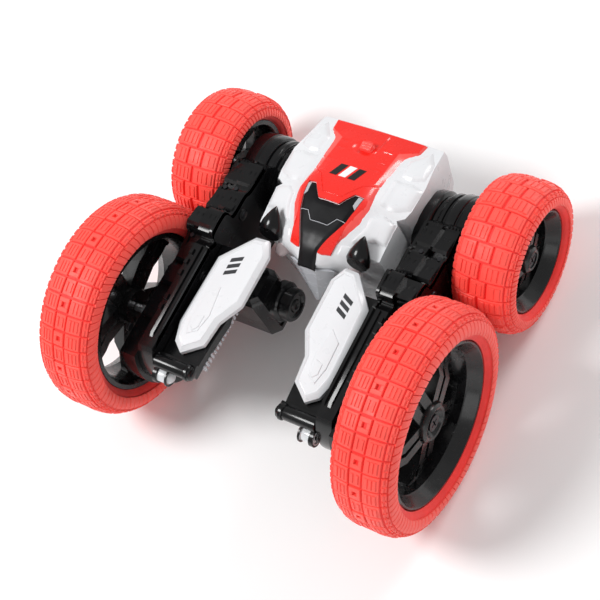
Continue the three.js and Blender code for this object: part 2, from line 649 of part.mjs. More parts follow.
function doorScrew() {
  const y = BATTERY_DOOR.screwY;
  const arm = SCREW.shankR - 0.2;
  const half = SCREW.slot / 4;
  const shank = rodZ(FLOOR_Z + 0.2, FLOOR_Z + 3.6, SCREW.shankR, 0, y);
  const collar = rodZ(FLOOR_Z + WALL + GAP, FLOOR_Z + 3, 2 * SCREW.shankR, 0, y);
  const across = box(-arm, arm, y - half, y + half, 0, FLOOR_Z + SCREW.depth);
  const upright = box(-half, half, y - arm, y + arm, 0, FLOOR_Z + SCREW.depth);
  return cut(join(shank, collar), across, upright);
}

// ---- inside the body ----
function switchKnob() {
  const k = KNOB;
  const middle = (k.y0 + k.y1) / 2;
  const stem = box(-k.stemX, k.stemX, k.y0 + 0.4, k.y1 - 0.4, k.stemZ, k.z0 + 1);
  const cap = box(-k.x, k.x, k.y0, k.y1, k.z0, k.z1);
  const ridge = box(-k.x, k.x, middle - GAP, middle + GAP, k.z1 - 0.2, k.z1 + 0.5);
  return join(stem, cap, ridge);
}

function switchBody() {
  const top = KNOB.stemZ - GAP;
  const under = BOARD.z + BOARD.thick + 1;
  const block = box(-4.5, 4.5, SLOT.y0 - 1.4, SLOT.y1 + 2.6, under + 1.2, top);
  return join(block, box(-3.5, 3.5, SLOT.y0, SLOT.y1 + 1, under, under + 1.6));
}

function circuitBoard() {
  const { x, y0, y1, z, thick } = BOARD;
  const low = z + thick - 0.2;
  const chip = box(-4, 4, 30, 38, low, low + 1.8);
  const capacitor = rodZ(low, low + 5.8, 3, 9, 44);
  const crystal = box(-11, -7, 40, 47, low, low + 3.2);
  return join(box(-x, x, y0, y1, z, z + thick), chip, capacitor, crystal);
}

function batteryPack() {
  const { radius, length, spacing, y, z } = CELL;
  const cell = rodY(y - length / 2, y + length / 2, radius, spacing, z, 20);
  const wrap = box(-spacing, spacing, y - length / 2 + GAP, y + length / 2 - GAP, z - 5, z - 2);
  return join(...onBothSides(cell), wrap);
}

// ---- assembly ----
function addWheel(add, position, wheel) {
  add(`${position}_tyre`, tyreGeometry(wheel), TYRE);
  add(`${position}_rim`, rimGeometry(wheel), BLACK);
  add(`${position}_axle`, axleRod(wheel), STEEL);
  add(`${position}_hub_screw`, hubScrew(wheel), STEEL);
}

function addTrain(add) {
  const turns = trainTurns();
  const axleBore = AXLE_R + GAP;
  const idlerBore = POST_R + GAP;
  add("front_axle_gear", trainGear(FRONT_TEETH, FRONT_AXLE, turns[0], axleBore), NYLON);
  add("first_idler_gear", firstIdler(turns[1]), NYLON);
  add("middle_idler_gear", trainGear(IDLER_TEETH[1], IDLERS[1], turns[2], idlerBore), NYLON);
  add("rear_idler_gear", trainGear(IDLER_TEETH[2], IDLERS[2], turns[3], idlerBore), NYLON);
  add("rear_axle_gear", trainGear(REAR_TEETH, REAR_AXLE, turns[4], axleBore), NYLON);
  add("motor_pinion", motorPinion(), STEEL);
}

function addSide(side, place) {
  const add = (name, geometry, look) => addPiece(`${side}_${name}`, place(geometry), look);
  addWheel(add, "front", FRONT_WHEEL);
  addWheel(add, "rear", REAR_WHEEL);
  addTrain(add);
  add("inner_gear_case", innerCase(), BLACK);
  add("outer_gear_case", outerCase(), BLACK);
  add("drive_motor", driveMotor(), STEEL);
  add("motor_housing", motorHousing(), SATIN);
  add("arm_bracket", armBracket(), BLACK);
  add("wing_cover", wingCover(), WHITE);
  add("lamp_lens", lampLens(), CLEAR);
  add("ear_pod", earPod(0), BLACK);
  add("eye_lamp", eyeLamp(), CLEAR);
  add("pivot_hub", pivotHub(), SATIN);
}

addSide("left", (geometry) => geometry);
addSide("right", mirrored);
addPiece("upper_shell", upperShell(), WHITE);
addPiece("lower_shell", lowerShell(), WHITE);
addPiece("top_cover", topCover(), RED);
addPiece("windshield_front", windshield(-GAP / 2, 0), BLACK);
addPiece("windshield_rear", windshield(GAP / 2, CLEAR_OF_BODY), BLACK);
addPiece("nose_chin", noseChin(), GREY);
addPiece("power_switch_knob", switchKnob(), RED);
addPiece("power_switch_body", switchBody(), SATIN);
addPiece("circuit_board", circuitBoard(), GREEN);
addPiece("battery_pack", batteryPack(), BLUE);
addPiece("battery_door", batteryDoor(), WHITE);
addPiece("battery_door_screw", doorScrew(), STEEL);

export default car;
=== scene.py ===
"""Looks for the radio-controlled stunt car. Shapes are drawn in millimetres and stored in metres."""

import math

import bmesh
import bpy
import numpy as np
from mathutils import Matrix, Vector
from mathutils.bvhtree import BVHTree


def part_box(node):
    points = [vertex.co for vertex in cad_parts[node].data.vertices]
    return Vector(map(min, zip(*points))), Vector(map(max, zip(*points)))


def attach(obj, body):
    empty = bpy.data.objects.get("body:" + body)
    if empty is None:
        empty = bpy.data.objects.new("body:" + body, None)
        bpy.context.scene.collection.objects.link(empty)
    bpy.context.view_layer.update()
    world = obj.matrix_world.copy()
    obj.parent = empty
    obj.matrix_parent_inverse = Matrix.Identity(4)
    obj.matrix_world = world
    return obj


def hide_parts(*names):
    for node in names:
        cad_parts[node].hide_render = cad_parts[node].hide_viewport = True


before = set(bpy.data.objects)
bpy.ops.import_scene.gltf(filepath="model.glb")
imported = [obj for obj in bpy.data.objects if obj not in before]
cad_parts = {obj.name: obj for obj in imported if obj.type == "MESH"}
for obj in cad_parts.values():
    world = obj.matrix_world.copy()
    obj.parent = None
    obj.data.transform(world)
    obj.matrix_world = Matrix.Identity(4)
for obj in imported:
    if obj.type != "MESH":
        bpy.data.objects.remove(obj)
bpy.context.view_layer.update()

MM = 0.001
SIDES = ("left", "right")  # the car's own left is +X


# ---- places taken from the frame
def centre_of(node):
    low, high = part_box(node)
    return (low + high) / 2 / MM


FRONT_MIDDLE = centre_of("left_front_tyre")
REAR_MIDDLE = centre_of("left_rear_tyre")
FRONT_AXLE, REAR_AXLE = FRONT_MIDDLE.yz, REAR_MIDDLE.yz
FRONT_R, REAR_R = FRONT_AXLE.y, REAR_AXLE.y  # the tyres stand on the floor
MOTOR_AXIS = centre_of("left_motor_pinion").yz
LAMP_AXIS = (-48.9, 44.1)
CROSS_BAR_AXIS = (-46, 48.4)


# ---- node materials
def fill(node, **values):
    """Sets a node's inputs, whose names have _ for a space."""
    for key, value in values.items():
        node.inputs[key.replace("_", " ")].default_value = value
    return node


class Nodes:
    """A short way to build one material's node tree."""

    def __init__(self, name, **settings):
        self.material = bpy.data.materials.new(name)
        self.material.use_nodes = True
        self.tree = self.material.node_tree
        self.shader = fill(self.tree.nodes["Principled BSDF"], **settings)
        self.place = self.add("ShaderNodeTexCoord").outputs["Object"]

    def add(self, kind, **values):
        return fill(self.tree.nodes.new(kind), **values)

    def link(self, source, target):
        self.tree.links.new(source, target)

    def noise(self, scale, detail, rough=0.55):
        node = self.add("ShaderNodeTexNoise", Scale=scale, Detail=detail, Roughness=rough)
        self.link(self.place, node.inputs["Vector"])
        return node.outputs["Fac"]

    def colour(self, source, colour, amount):
        """Two close shades of a colour, for slow variation over a surface."""
        node = self.add("ShaderNodeValToRGB")
        for element, position, change in zip(node.color_ramp.elements, (0.35, 0.65), (-amount, amount)):
            element.position = position
            element.color = (*(min(1.0, c * (1 + change)) for c in colour), 1.0)
        self.link(source, node.inputs["Fac"])
        self.link(node.outputs["Color"], self.shader.inputs["Base Color"])

    def roughness(self, source, low, high):
        """Spreads a noise's usual 0.3 to 0.7 over low to high."""
        node = self.add("ShaderNodeMapRange", From_Min=0.3, From_Max=0.7, To_Min=low, To_Max=high)
        self.link(source, node.inputs["Value"])
        self.link(node.outputs["Result"], self.shader.inputs["Roughness"])

    def bump(self, source, strength, distance):
        node = self.add("ShaderNodeBump", Strength=strength, Distance=distance)
        self.link(source, node.inputs["Height"])
        self.link(node.outputs["Normal"], self.shader.inputs["Normal"])


def moulded(name, colour, rough, coat=0.0, shade=0.04, grain=0.1, shine=0.5):
    """Injection-moulded plastic: faint flow marks in colour and gloss, and a fine skin texture."""
    n = Nodes(name, Coat_Weight=coat, Coat_Roughness=0.1, Specular_IOR_Level=shine)
    n.colour(n.noise(45, 3.0), colour, shade)
    n.roughness(n.noise(220, 5.0), max(0.03, rough - 0.05), rough + 0.07)
    n.bump(n.noise(1600, 2.0), grain, 0.00004)
    return n.material


def rubber(name, colour, rough, shade):
    """Soft moulded rubber with a fine pebble: the high spots are dusty, and the grooves get a darker red as
    painted shade.
    """
    n = Nodes(name, Sheen_Weight=0.12, Sheen_Roughness=0.5, IOR=1.5)
    n.colour(n.noise(120, 6.0, 0.65), colour, shade)
    n.roughness(n.noise(400, 4.0), rough - 0.08, rough + 0.1)
    n.bump(n.noise(2600, 3.0), 0.25, 0.00008)
    return n.material


def metal(name, colour, rough):
    """Turned or plated metal with fine, uneven gloss."""
    n = Nodes(name, Metallic=1.0)
    n.colour(n.noise(300, 4.0), colour, 0.08)
    n.roughness(n.noise(900, 3.0), rough - 0.06, rough + 0.1)
    n.bump(n.noise(3000, 2.0), 0.12, 0.00003)
    return n.material


def clear(name, tint, rough, through):
    """Clear plastic; through is the share of light that passes."""
    n = Nodes(name, Transmission_Weight=through, IOR=1.45)
    n.colour(n.noise(80, 2.0), tint, 0.03)
    n.roughness(n.noise(500, 3.0), rough, rough + 0.06)
    n.bump(n.noise(700, 2.0), 0.06, 0.00005)
    return n.material


# rubber: colour, roughness, shade
# The tread red on the blocks is lighter and dusty; the groove red is darker, painted shade in the grooves.
TREAD = rubber("tread_rubber", (1.0, 0.085, 0.062), 0.55, 0.06)
GROOVE_SHADE = rubber("groove_shade_rubber", (0.90, 0.030, 0.024), 0.62, 0.08)

# moulded: colour, roughness, coat, shade, grain, shine
BLACK = moulded("gloss_black", (0.004, 0.004, 0.0045), 0.22, 0.3, 0.25, 0.06, 0.25)
RIM_BLACK = moulded("rim_black", (0.004, 0.004, 0.0045), 0.26, 0.3, 0.25, 0.08, 0.4)
GLASS_BLACK = moulded("glass_black", (0.005, 0.005, 0.006), 0.36, 0.0, 0.2, 0.04, 0.25)
SATIN = moulded("satin_black", (0.011, 0.011, 0.012), 0.3, 0.1, 0.25, 0.2)
WHITE = moulded("gloss_white", (0.74, 0.75, 0.77), 0.3, 0.2, 0.02, 0.08)
RED = moulded("gloss_red", (0.86, 0.022, 0.014), 0.26, 0.3, 0.05)
# A paler red for the switch knob; on the cover's chamfers the same red is a painted highlight.
KNOB_RED_AND_CHAMFER_SHEEN = moulded("knob_red_and_chamfer_sheen", (0.98, 0.10, 0.085), 0.24, 0.4)
GREY = moulded("light_grey", (0.46, 0.47, 0.50), 0.25, 0.25)
MARK_GREY = moulded("mark_grey", (0.035, 0.036, 0.04), 0.35, 0.0, 0.1)
# Black print on the cover, and painted shade for the rear vent slots.
BLACK_PRINT_AND_SLOT_SHADE = moulded("black_print_and_slot_shade", (0.012, 0.012, 0.012), 0.3, 0.0, 0.1)
MARK_WHITE = moulded("mark_white", (0.85, 0.85, 0.85), 0.3, 0.0, 0.02)
NYLON = moulded("natural_nylon", (0.72, 0.70, 0.62), 0.45, 0.0, 0.05, 0.2)
BOARD = moulded("circuit_board", (0.015, 0.13, 0.04), 0.4, 0.0, 0.1, 0.2)
WRAP = moulded("battery_wrap", (0.02, 0.07, 0.36), 0.3, 0.0, 0.08)

# metal: colour, roughness; clear: tint, roughness, share of light let through
STEEL = metal("turned_steel", (0.55, 0.56, 0.58), 0.28)
DARK_STEEL = metal("blackened_steel", (0.06, 0.06, 0.065), 0.35)
CHROME = metal("lamp_reflector", (0.86, 0.87, 0.88), 0.1)
LENS = clear("clear_lens", (0.93, 0.95, 0.97), 0.04, 0.35)
PINK_LENS = clear("pinkish_lens", (0.95, 0.80, 0.80), 0.06, 0.6)


# ---- mesh building
SHARP_ANGLE = 32  # degrees; edges that turn less are shaded smooth


def new_object(name, data):
    made = bpy.data.objects.new(name, data)
    bpy.context.scene.collection.objects.link(made)
    return made


class Shape:
    """Collects closed forms in millimetres and turns them into one object."""

    def __init__(self):
        self.bm = bmesh.new()

    def add(self, points, faces, index=0):
        verts = [self.bm.verts.new(p) for p in points]
        made = []
        for face in faces:
            made.append(self.bm.faces.new([verts[i] for i in face]))
            made[-1].material_index = index
            made[-1].smooth = True
        return made

    def closed(self, points, faces, bevel=0.0, segments=2, angle=22, tint=None, index=0):
        """A closed form, with its edges rounded where they turn by more than angle."""
        made = self.add(points, faces, index)
        if tint:
            for face in made:
                middle = face.calc_center_median()
                face.material_index = tint(middle.x, middle.y)
        if bevel:
            edges = {e for f in made for e in f.edges}
            picked = [e for e in edges if e.is_manifold and e.calc_face_angle(0) > math.radians(angle)]
            bmesh.ops.bevel(
                self.bm, geom=picked, offset=bevel, segments=segments, affect="EDGES",
                profile=0.6, clamp_overlap=True, material=-1,
            )

    def build(self, name, body, slot, materials, replaces):
        """Sides are drawn as the left one, and a right_ piece is mirrored."""
        bm = self.bm
        if name.startswith("right_"):
            bmesh.ops.scale(bm, vec=(-1, 1, 1), verts=bm.verts)
            bmesh.ops.reverse_faces(bm, faces=bm.faces)
        bmesh.ops.scale(bm, vec=(MM, MM, MM), verts=bm.verts)
        mesh = bpy.data.meshes.new(name)
        bm.to_mesh(mesh)
        bm.free()
        for material in materials:
            mesh.materials.append(material)
        mesh.set_sharp_from_angle(angle=math.radians(SHARP_ANGLE))
        piece = new_object(name, mesh)
        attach(piece, body)
        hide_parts(*replaces)


def tube_faces(rings, count, loop=False):
    """Quads between rings of count points, with end caps or, as a loop, joined end to end."""
    faces = []
    for i in range(rings if loop else rings - 1):
        a, b = i * count, ((i + 1) % rings) * count
        for j in range(count):
            k = (j + 1) % count
            faces.append((a + j, a + k, b + k, b + j))
    if not loop:
        faces += [tuple(range(count))[::-1], tuple((rings - 1) * count + j for j in range(count))]
    return faces


def mirrored(outline):
    return [(-x, y) for x, y in outline]


def both(half):
    """A half and its mirror image, as one line."""
    return half + mirrored(half)[::-1]


def looped(outline):
    """An outline as a line that ends where it starts."""
    return outline + outline[:1]


def area(outline):
    """Signed area: positive when the outline runs anticlockwise."""
    ends = looped(outline)
    return sum(x0 * y1 - x1 * y0 for (x0, y0), (x1, y1) in zip(ends, ends[1:])) / 2


def anticlockwise(outline):
    return outline if area(outline) > 0 else outline[::-1]


def grown(outline, amount):
    """An outline moved outwards by amount, or inwards when it is negative."""
    sign = 1 if area(outline) > 0 else -1
    count = len(outline)
    moved = []
    for i in range(count):
        p, here, q = (Vector(outline[(i + k) % count]) for k in (-1, 0, 1))
        before, after = (here - p).normalized(), (q - here).normalized()
        normal = Vector((before.y + after.y, -(before.x + after.x))).normalized()
        reach = max(0.5, normal.dot(Vector((after.y, -after.x))))
        moved.append(tuple(here + normal * (sign * amount / reach)))
    return moved


def side_slab(shape, outline, x0, x1, bevel, segments=2):
    """An outline of (y, z) points, extruded along X."""
    ring = anticlockwise(outline)
    points = [(x, y, z) for x in (x0, x1) for y, z in ring]
    shape.closed(points, tube_faces(2, len(ring)), bevel, segments)


def ringed(shape, rings, bevel=0.0, angle=22, index=0):
    """A closed form through outlines stacked one above another: (outline, z) pairs."""
    points = [(x, y, z) for outline, z in rings for x, y in anticlockwise(outline)]
    shape.closed(points, tube_faces(len(rings), len(rings[0][0])), bevel, angle=angle, index=index)


def block(shape, x0, x1, y0, y1, z0, z1, bevel, taper=0.0, segments=2, index=0):
    """A rounded box; taper draws its top in on every side."""
    points = []
    for z, t in ((z0, 0.0), (z1, taper)):
        left, right, near, far = x0 + t, x1 - t, y0 + t, y1 - t
        points += [(left, near, z), (right, near, z), (right, far, z), (left, far, z)]
    shape.closed(points, tube_faces(2, 4), bevel, segments, index=index)


def turned(shape, profile, centre, segments, index=0):
    """A closed profile of (x, radius), spun about a line parallel to X."""
    count = len(profile)
    points = []
    for a in round_turn(segments):
        c, s = math.cos(a), math.sin(a)
        points += [(x, centre[0] + r * s, centre[1] + r * c) for x, r in profile]
    faces = tube_faces(segments, count, loop=True)
    if area(profile) >= 0:
        faces = [f[::-1] for f in faces]
    shape.add(points, faces, index)


PINHOLE = 0.05  # radius left open at the middle of a turned form, so that no faces collapse


def knob_profile(x0, x1, radius, ease=0.4):
    """The profile of a rounded disc from x0 to x1."""
    soft = ease * 0.3
    step = math.copysign(ease, x1 - x0)
    return [
        (x0, PINHOLE), (x0, radius - soft), (x0 + step * 0.3, radius), (x1 - step, radius),
        (x1 - step * 0.3, radius - soft), (x1, radius - ease), (x1, PINHOLE),
    ]


def round_turn(count):
    """Angles all the way round, in radians."""
    return [2 * math.pi * i / count for i in range(count)]


def arc(centre, radius, start, end, count):
    """Points on a circle in side view. Angles in degrees, from +Y towards +Z."""
    steps = [math.radians(start + (end - start) * i / (count - 1)) for i in range(count)]
    return [(centre[0] + radius * math.cos(a), centre[1] + radius * math.sin(a)) for a in steps]


def smooth_line(points, per_span):
    """A Catmull-Rom curve through points, with per_span steps between neighbours."""
    ends = [points[0], *points, points[-1]]
    out = []
    for p0, p1, p2, p3 in zip(ends, ends[1:], ends[2:], ends[3:]):
        for i in range(per_span):
            t = i / per_span
            point = []
            for a, b, c, d in zip(p0, p1, p2, p3):
                square, cube = 2 * a - 5 * b + 4 * c - d, 3 * b - a - 3 * c + d
                point.append(0.5 * (2 * b + (c - a) * t + square * t * t + cube * t ** 3))
            out.append(tuple(point))
    return out + [tuple(points[-1])]


# ---- tyres
class Tyre:
    """A carcass of revolution, with tread blocks laid on its outline."""

    def __init__(self, middle, centre, outline, bead):
        """middle is the x of the crown, and bead the (half width, radius) at the rim."""
        half = smooth_line(outline, 5)
        self.line = np.array(mirrored(half)[::-1] + half[1:])
        steps = np.hypot(*np.diff(self.line, axis=0).T)
        self.length = np.concatenate([[0], np.cumsum(steps)])
        self.length -= self.length[-1] / 2
        self.middle, self.centre, self.bead = middle, centre, bead
        self.shape = Shape()

    def outline_at(self, s, h):
        """The point (x, radius) at arc length s from the crown's middle, h above the carcass."""
        reach = 0.3  # how far to each side the slope is taken
        (x0, x, x1), (r0, r, r1) = (
            np.interp([s - reach, s, s + reach], self.length, column) for column in self.line.T
        )
        dx, dr = x1 - x0, r1 - r0
        size = np.hypot(dx, dr)
        return float(x - dr / size * h), float(r + dx / size * h)

    def place(self, turn, s, h):
        """The point in the car's frame, with turn about the axle from straight up."""
        x, r = self.outline_at(s, h)
        return self.middle + x, self.centre[0] + r * math.sin(turn), self.centre[1] + r * math.cos(turn)

    def carcass(self, segments):
        closed = [(self.middle + x, r) for x, r in self.line]
        half, radius = self.bead
        closed += [(self.middle + half, radius), (self.middle - half, radius)]
        # the carcass takes the darker groove red, painted shade between the blocks
        turned(self.shape, closed, self.centre, segments, 1)

    def block(self, turn, s, size, height, floor=-0.3, skew=0.0, edge=0.22, grid=(2, 2)):
        """A block centred at turn and s, of size (along the tread, across it).

        edge is the width of its chamfer, and grid how many quads its top has each way."""
        radius = self.outline_at(s, 0)[1]
        long, wide = size
        nu, nv = grid
        half = [(i / nu, 0.0) for i in range(nu)] + [(1.0, j / nv) for j in range(nv)]
        loop = half + [(1 - u, 1 - v) for u, v in half]

        def spot(u, v, inset, h):
            across = (v - 0.5) * (wide - 2 * inset)
            along = (u - 0.5) * (long - 2 * inset) + skew * (v - 0.5)
            return self.place(turn + along / radius, s + across, h)

        points = [spot(u, v, -0.08, floor) for u, v in loop]
        points += [spot(u, v, 0.0, height - edge) for u, v in loop]
        points += [spot(i / nu, j / nv, edge * 0.9, height) for j in range(nv + 1) for i in range(nu + 1)]
        count = len(loop)
        top = 2 * count
        rim = [top + round(v * nv) * (nu + 1) + round(u * nu) for u, v in loop]
        faces = []
        for j in range(count):
            k = (j + 1) % count
            faces.append((j, k, count + k, count + j))
            faces.append((count + j, count + k, rim[k], rim[j]))
        for j in range(nv):
            for i in range(nu):
                a = top + j * (nu + 1) + i
                faces.append((a, a + 1, a + nu + 2, a + nu + 1))
        faces.append(tuple(range(count))[::-1])
        self.shape.add(points, [f[::-1] for f in faces])

    def build(self, side, end):
        name = f"{side}_{end}"
        self.shape.build(f"{name}_tread", f"{name}_wheel", "tyre_rubber", [TREAD, GROOVE_SHADE], [f"{name}_tyre"])


# Half outlines (x, radius) from the crown's middle down to the bead.
FRONT_OUTLINE = [
    (0, 38.85), (4.6, 38.7), (8.0, 37.9), (9.9, 36.3), (10.7, 34.4), (10.7, 32.6), (10.1, 31.0),
    (9.1, 29.8),
]
REAR_OUTLINE = [
    (0, 26.4), (4.6, 26.25), (8.4, 25.3), (10.4, 23.6), (11.2, 21.8), (11.1, 20.6), (10.4, 19.6),
    (9.4, 19.1),
]
FRONT_ROWS, REAR_ROWS = 40, 26


def ribbed_block(tyre, turn, s, long, wide, height, ribs):
    """A tread block with a raised, ribbed pad on it."""
    tyre.block(turn, s, (long, wide), height - 0.3)
    pad = (wide - 1.5) / ribs
    for i in range(ribs):
        across = s + (i - (ribs - 1) / 2) * pad
        rib = (long - 1.7, pad - 0.42)
        tyre.block(turn, across, rib, height, floor=height - 0.5, edge=0.12, grid=(2, 1))


def shoulder_ribs(tyre, turn, pitch, start, end, count, height, lean):
    """Fine radial ribs over both shoulders, leaning back as they go down the wall."""
    for side in (-1, 1):
        for i in range(count):
            along = turn + (i - (count - 1) / 2) * pitch / count
            radius = tyre.outline_at(start, 0)[1]
            long = radius * pitch / count - (0.42 if i < count - 1 else 0.5)
            middle = side * (start + end) / 2
            tyre.block(along, middle, (long, end - start), height, skew=side * lean, edge=0.16, grid=(1, 5))


def shoulder_tabs(tyre, turn, pitch, s, height):
    """One block on each shoulder per row, with two pairs of short bars on it."""
    radius = tyre.outline_at(s, 0)[1]
    long = radius * pitch - 0.55
    for side in (-1, 1):
        tyre.block(turn, side * s, (long, 1.9), height - 0.4)
        for along in (-0.27, 0.27):
            for across in (-0.45, 0.45):
                spot = turn + along * long / radius
                bar = (long * 0.36, 0.42)
                tyre.block(spot, side * (s + across), bar, height, floor=0.2, edge=0.1, grid=(1, 1))


def front_tyre(side):
    """Two ribbed blocks per row, with a squared ring or a barred block in turn between them."""
    tyre = Tyre(FRONT_MIDDLE.x, FRONT_AXLE, FRONT_OUTLINE, (9.0, 29.6))
    tyre.carcass(120)
    pitch = 2 * math.pi / FRONT_ROWS
    long = FRONT_R * pitch - 0.75
    for row in range(FRONT_ROWS):
        turn = row * pitch
        for s in (-5.35, 5.35):
            ribbed_block(tyre, turn, s, long, 5.4, 1.12, 3)
        if row % 2:
            for hand in (-1, 1):
                tyre.block(turn + hand * 1.7 / FRONT_R, 0, (1.5, 4.0), 0.95, edge=0.14, grid=(1, 1))
            for across in (-1.4, 1.4):
                tyre.block(turn, across, (2.0, 1.2), 0.95, edge=0.14, grid=(1, 1))
        else:
            tyre.block(turn, 0, (long, 4.0), 0.65, edge=0.15)
            for across in (-0.95, 0.95):
                tyre.block(turn, across, (long - 2.2, 0.75), 1.05, floor=0.4, edge=0.12, grid=(2, 1))
        shoulder_tabs(tyre, turn, pitch, 9.5, 0.95)
        shoulder_ribs(tyre, turn, pitch, 10.7, 15.2, 2, 0.6, 1.8)
    tyre.build(side, "front")


def rear_tyre(side):
    """Rows of two wide and of three narrow ribbed blocks in turn."""
    tyre = Tyre(REAR_MIDDLE.x, REAR_AXLE, REAR_OUTLINE, (9.4, 19.0))
    tyre.carcass(96)
    pitch = 2 * math.pi / REAR_ROWS
    long = REAR_R * pitch - 0.85
    for row in range(REAR_ROWS):
        turn = row * pitch
        if row % 2:
            for s in (-4.75, 4.75):
                ribbed_block(tyre, turn, s, long, 8.4, 1.1, 4)
        else:
            for s in (-6.15, 0, 6.15):
                ribbed_block(tyre, turn, s, long, 5.3, 1.1, 2)
        shoulder_tabs(tyre, turn, pitch, 10.3, 0.95)
        shoulder_ribs(tyre, turn, pitch, 11.5, 14.2, 3, 0.5, 0.5)
    tyre.build(side, "rear")


# ---- rims
def spoke_bar(shape, centre, turn, sections, bevel):
    """A bar from the hub to the rim. Each section is (radius, low side, high side, back x, front x)."""
    draft = 0.35  # the front face is this much narrower on each side
    c, s = math.cos(turn), math.sin(turn)
    points = []
    for r, t0, t1, x0, x1 in sections:
        for x, t in ((x0, t0), (x0, t1), (x1, t1 - draft), (x1, t0 + draft)):
            points.append((x, centre[0] + t * c + r * s, centre[1] - t * s + r * c))
    shape.closed(points, [f[::-1] for f in tube_faces(len(sections), 4)], bevel)


SPOKES = 5
# Half of a spoke: share of its length, share of its width, front and back of it from the hub's face.
SPOKE_STEPS = [(0.0, 0.94, 3.1, 2.4), (0.45, 1.0, 2.3, 2.6), (0.62, 1.04, 0.2, 3.6), (1.0, 1.16, -1.2, 4.6)]


def rim(side, end, axle, seat, low_x, high_x, face, hub_r, spoke_half):
    """A deep-lipped rim with broad, grooved spokes that step back before they meet the rim.

    seat is the radius under the tyre, and face the x of the spokes."""
    shape = Shape()
    lip = [
        (high_x - 0.3, seat), (high_x, seat - 0.4), (high_x, seat - 0.9), (high_x - 0.4, seat - 1.3),
        (high_x - 4.2, seat - 3.1), (high_x - 4.7, seat - 3.6), (high_x - 6.6, seat - 3.4),
        (low_x + 3, seat - 3.0), (low_x + 1.2, seat - 2.4), (low_x, seat - 1.6), (low_x, seat),
    ]
    turned(shape, lip, axle, 96)
    hub = [
        (face - 5, 2.0), (face - 5, hub_r - 1.3), (face - 2, hub_r - 0.2), (face + 2.4, hub_r + 0.1),
        (face + 4.2, hub_r - 0.6), (face + 4.9, hub_r - 1.6), (face + 4.7, hub_r - 2.4),
        (face + 3.6, max(3.3, hub_r - 3.2)), (face + 2.2, 3.25), (face + 2.0, 2.0),
    ]
    turned(shape, hub, axle, 56)
    near, far = hub_r - 1.2, seat - 3.0
    groove = 0.4
    # Between a spoke's halves, and where it meets the rim: radius, half width, back and front.
    web = [(near, groove * 2, -2, 2), ((near + far) / 2, groove * 3, -2.4, 1), (far, groove * 4, -4, -2.4)]
    knuckle = [(far - 2.0, spoke_half + 0.9, -4.6, -1.6), (far + 0.6, spoke_half + 2.0, -4.8, -0.4)]
    for turn in round_turn(SPOKES):
        for hand in (-1, 1):
            rows = []
            for share, width, lift, depth in SPOKE_STEPS:
                low, high = sorted((hand * groove * (1 + share), hand * spoke_half * width))
                rows.append((near + (far - near) * share, low, high, face - depth, face + lift))
            spoke_bar(shape, axle, turn, rows, 0.4)
        for sections, bevel in ((web, 0.0), (knuckle, 0.3)):
            rows = [(r, -half, half, face + back, face + front) for r, half, back, front in sections]
            spoke_bar(shape, axle, turn, rows, bevel)
    name = f"{side}_{end}"
    shape.build(f"{name}_rim_detail", f"{name}_wheel", "black_gloss", [RIM_BLACK], [f"{name}_rim"])


# ---- gear case of an arm
CASE_INNER_X, CASE_SPLIT_X, CASE_OUTER_X = 33.3, 39.5, 46.0
CASE_GAP = 0.1  # from the split to each half
# The stepped tops of the two halves, from the rear: (y, z).
HUMPS_INNER = [
    (34, 48), (24, 49), (21, 50.5), (12.5, 51), (11.4, 54), (9.6, 57), (2.2, 57), (0.6, 55.4),
    (0, 52.5), (-3, 54),
]
HUMPS_OUTER = [
    (35, 46.2), (24, 46), (22, 47.4), (12.6, 48.4), (10.6, 53), (4, 54.4), (1.6, 53), (0, 50.4),
    (-10, 49.2), (-14, 51),
]
# Housings along the top, rising to a blunt front: x0, x1, y0, y1, base z, rear and front top z.
WEDGES = [
    (34.0, 39.8, 24.6, 35.0, 44.5, 47.6, 49.6), (39.6, 45.6, 24.6, 34.0, 42.5, 46.2, 48.3),
    (34.0, 39.8, 12.6, 21.4, 47.0, 50.2, 52.0), (39.6, 45.6, 12.2, 21.6, 44.5, 48.0, 50.4),
    (33.6, 39.8, 2.2, 10.2, 54.0, 56.6, 57.8), (39.6, 45.6, 2.2, 10.6, 51.0, 53.6, 56.2),
    (40.2, 45.4, -10.4, -1.8, 46.5, 50.0, 51.0), (40.4, 45.0, -20.5, -12.4, 48.6, 51.6, 52.6),
    (40.4, 44.6, -34.0, -23.0, 50.0, 52.0, 52.9),
]
# Middles of the paired pads on those housings, and of the small bright screws.
PAD_PAIRS = [
    (36.0, 29.6, 48.4), (42.8, 29.2, 46.9), (36.6, 16.8, 50.9), (42.8, 16.6, 49.0), (36.4, 6.0, 57.0),
    (42.8, 6.2, 54.7),
]
TOP_SCREWS = [(37.9, 22.6, 49.9), (44.0, 23.0, 47.2), (38.0, 11.2, 53.6), (43.8, 0.4, 50.9)]
INNER_BOSSES = [(-44.5, 47.0), (-12.0, 47.5), (16.0, 45.0), (-30.0, 24.5), (2.0, 18.6)]
OUTER_SCREWS = [(-40.0, 54.0), (-10.5, 46.5), (12.0, 42.5), (28.0, 40.0), (-22.0, 22.0)]


def case_outline(front_r, drum_r, humps, top):
    """A gear case in side view: round ends about the axles, joined by a belly line and the humps.

    The front end is cut off flat at the height top."""
    centre_f, centre_r = Vector(FRONT_AXLE), Vector(REAR_AXLE)
    along = centre_f - centre_r
    lean = math.degrees(math.atan2(along.y, along.x) + math.asin((front_r - drum_r) / along.length))
    touch = lean + 90
    clip = math.degrees(math.asin((top - centre_f.y) / front_r))
    front = arc(FRONT_AXLE, front_r, 180 - clip, touch, 28)
    rear = arc(REAR_AXLE, drum_r, touch, 360 + 100, 30)
    return front + rear + smooth_line(humps, 3)


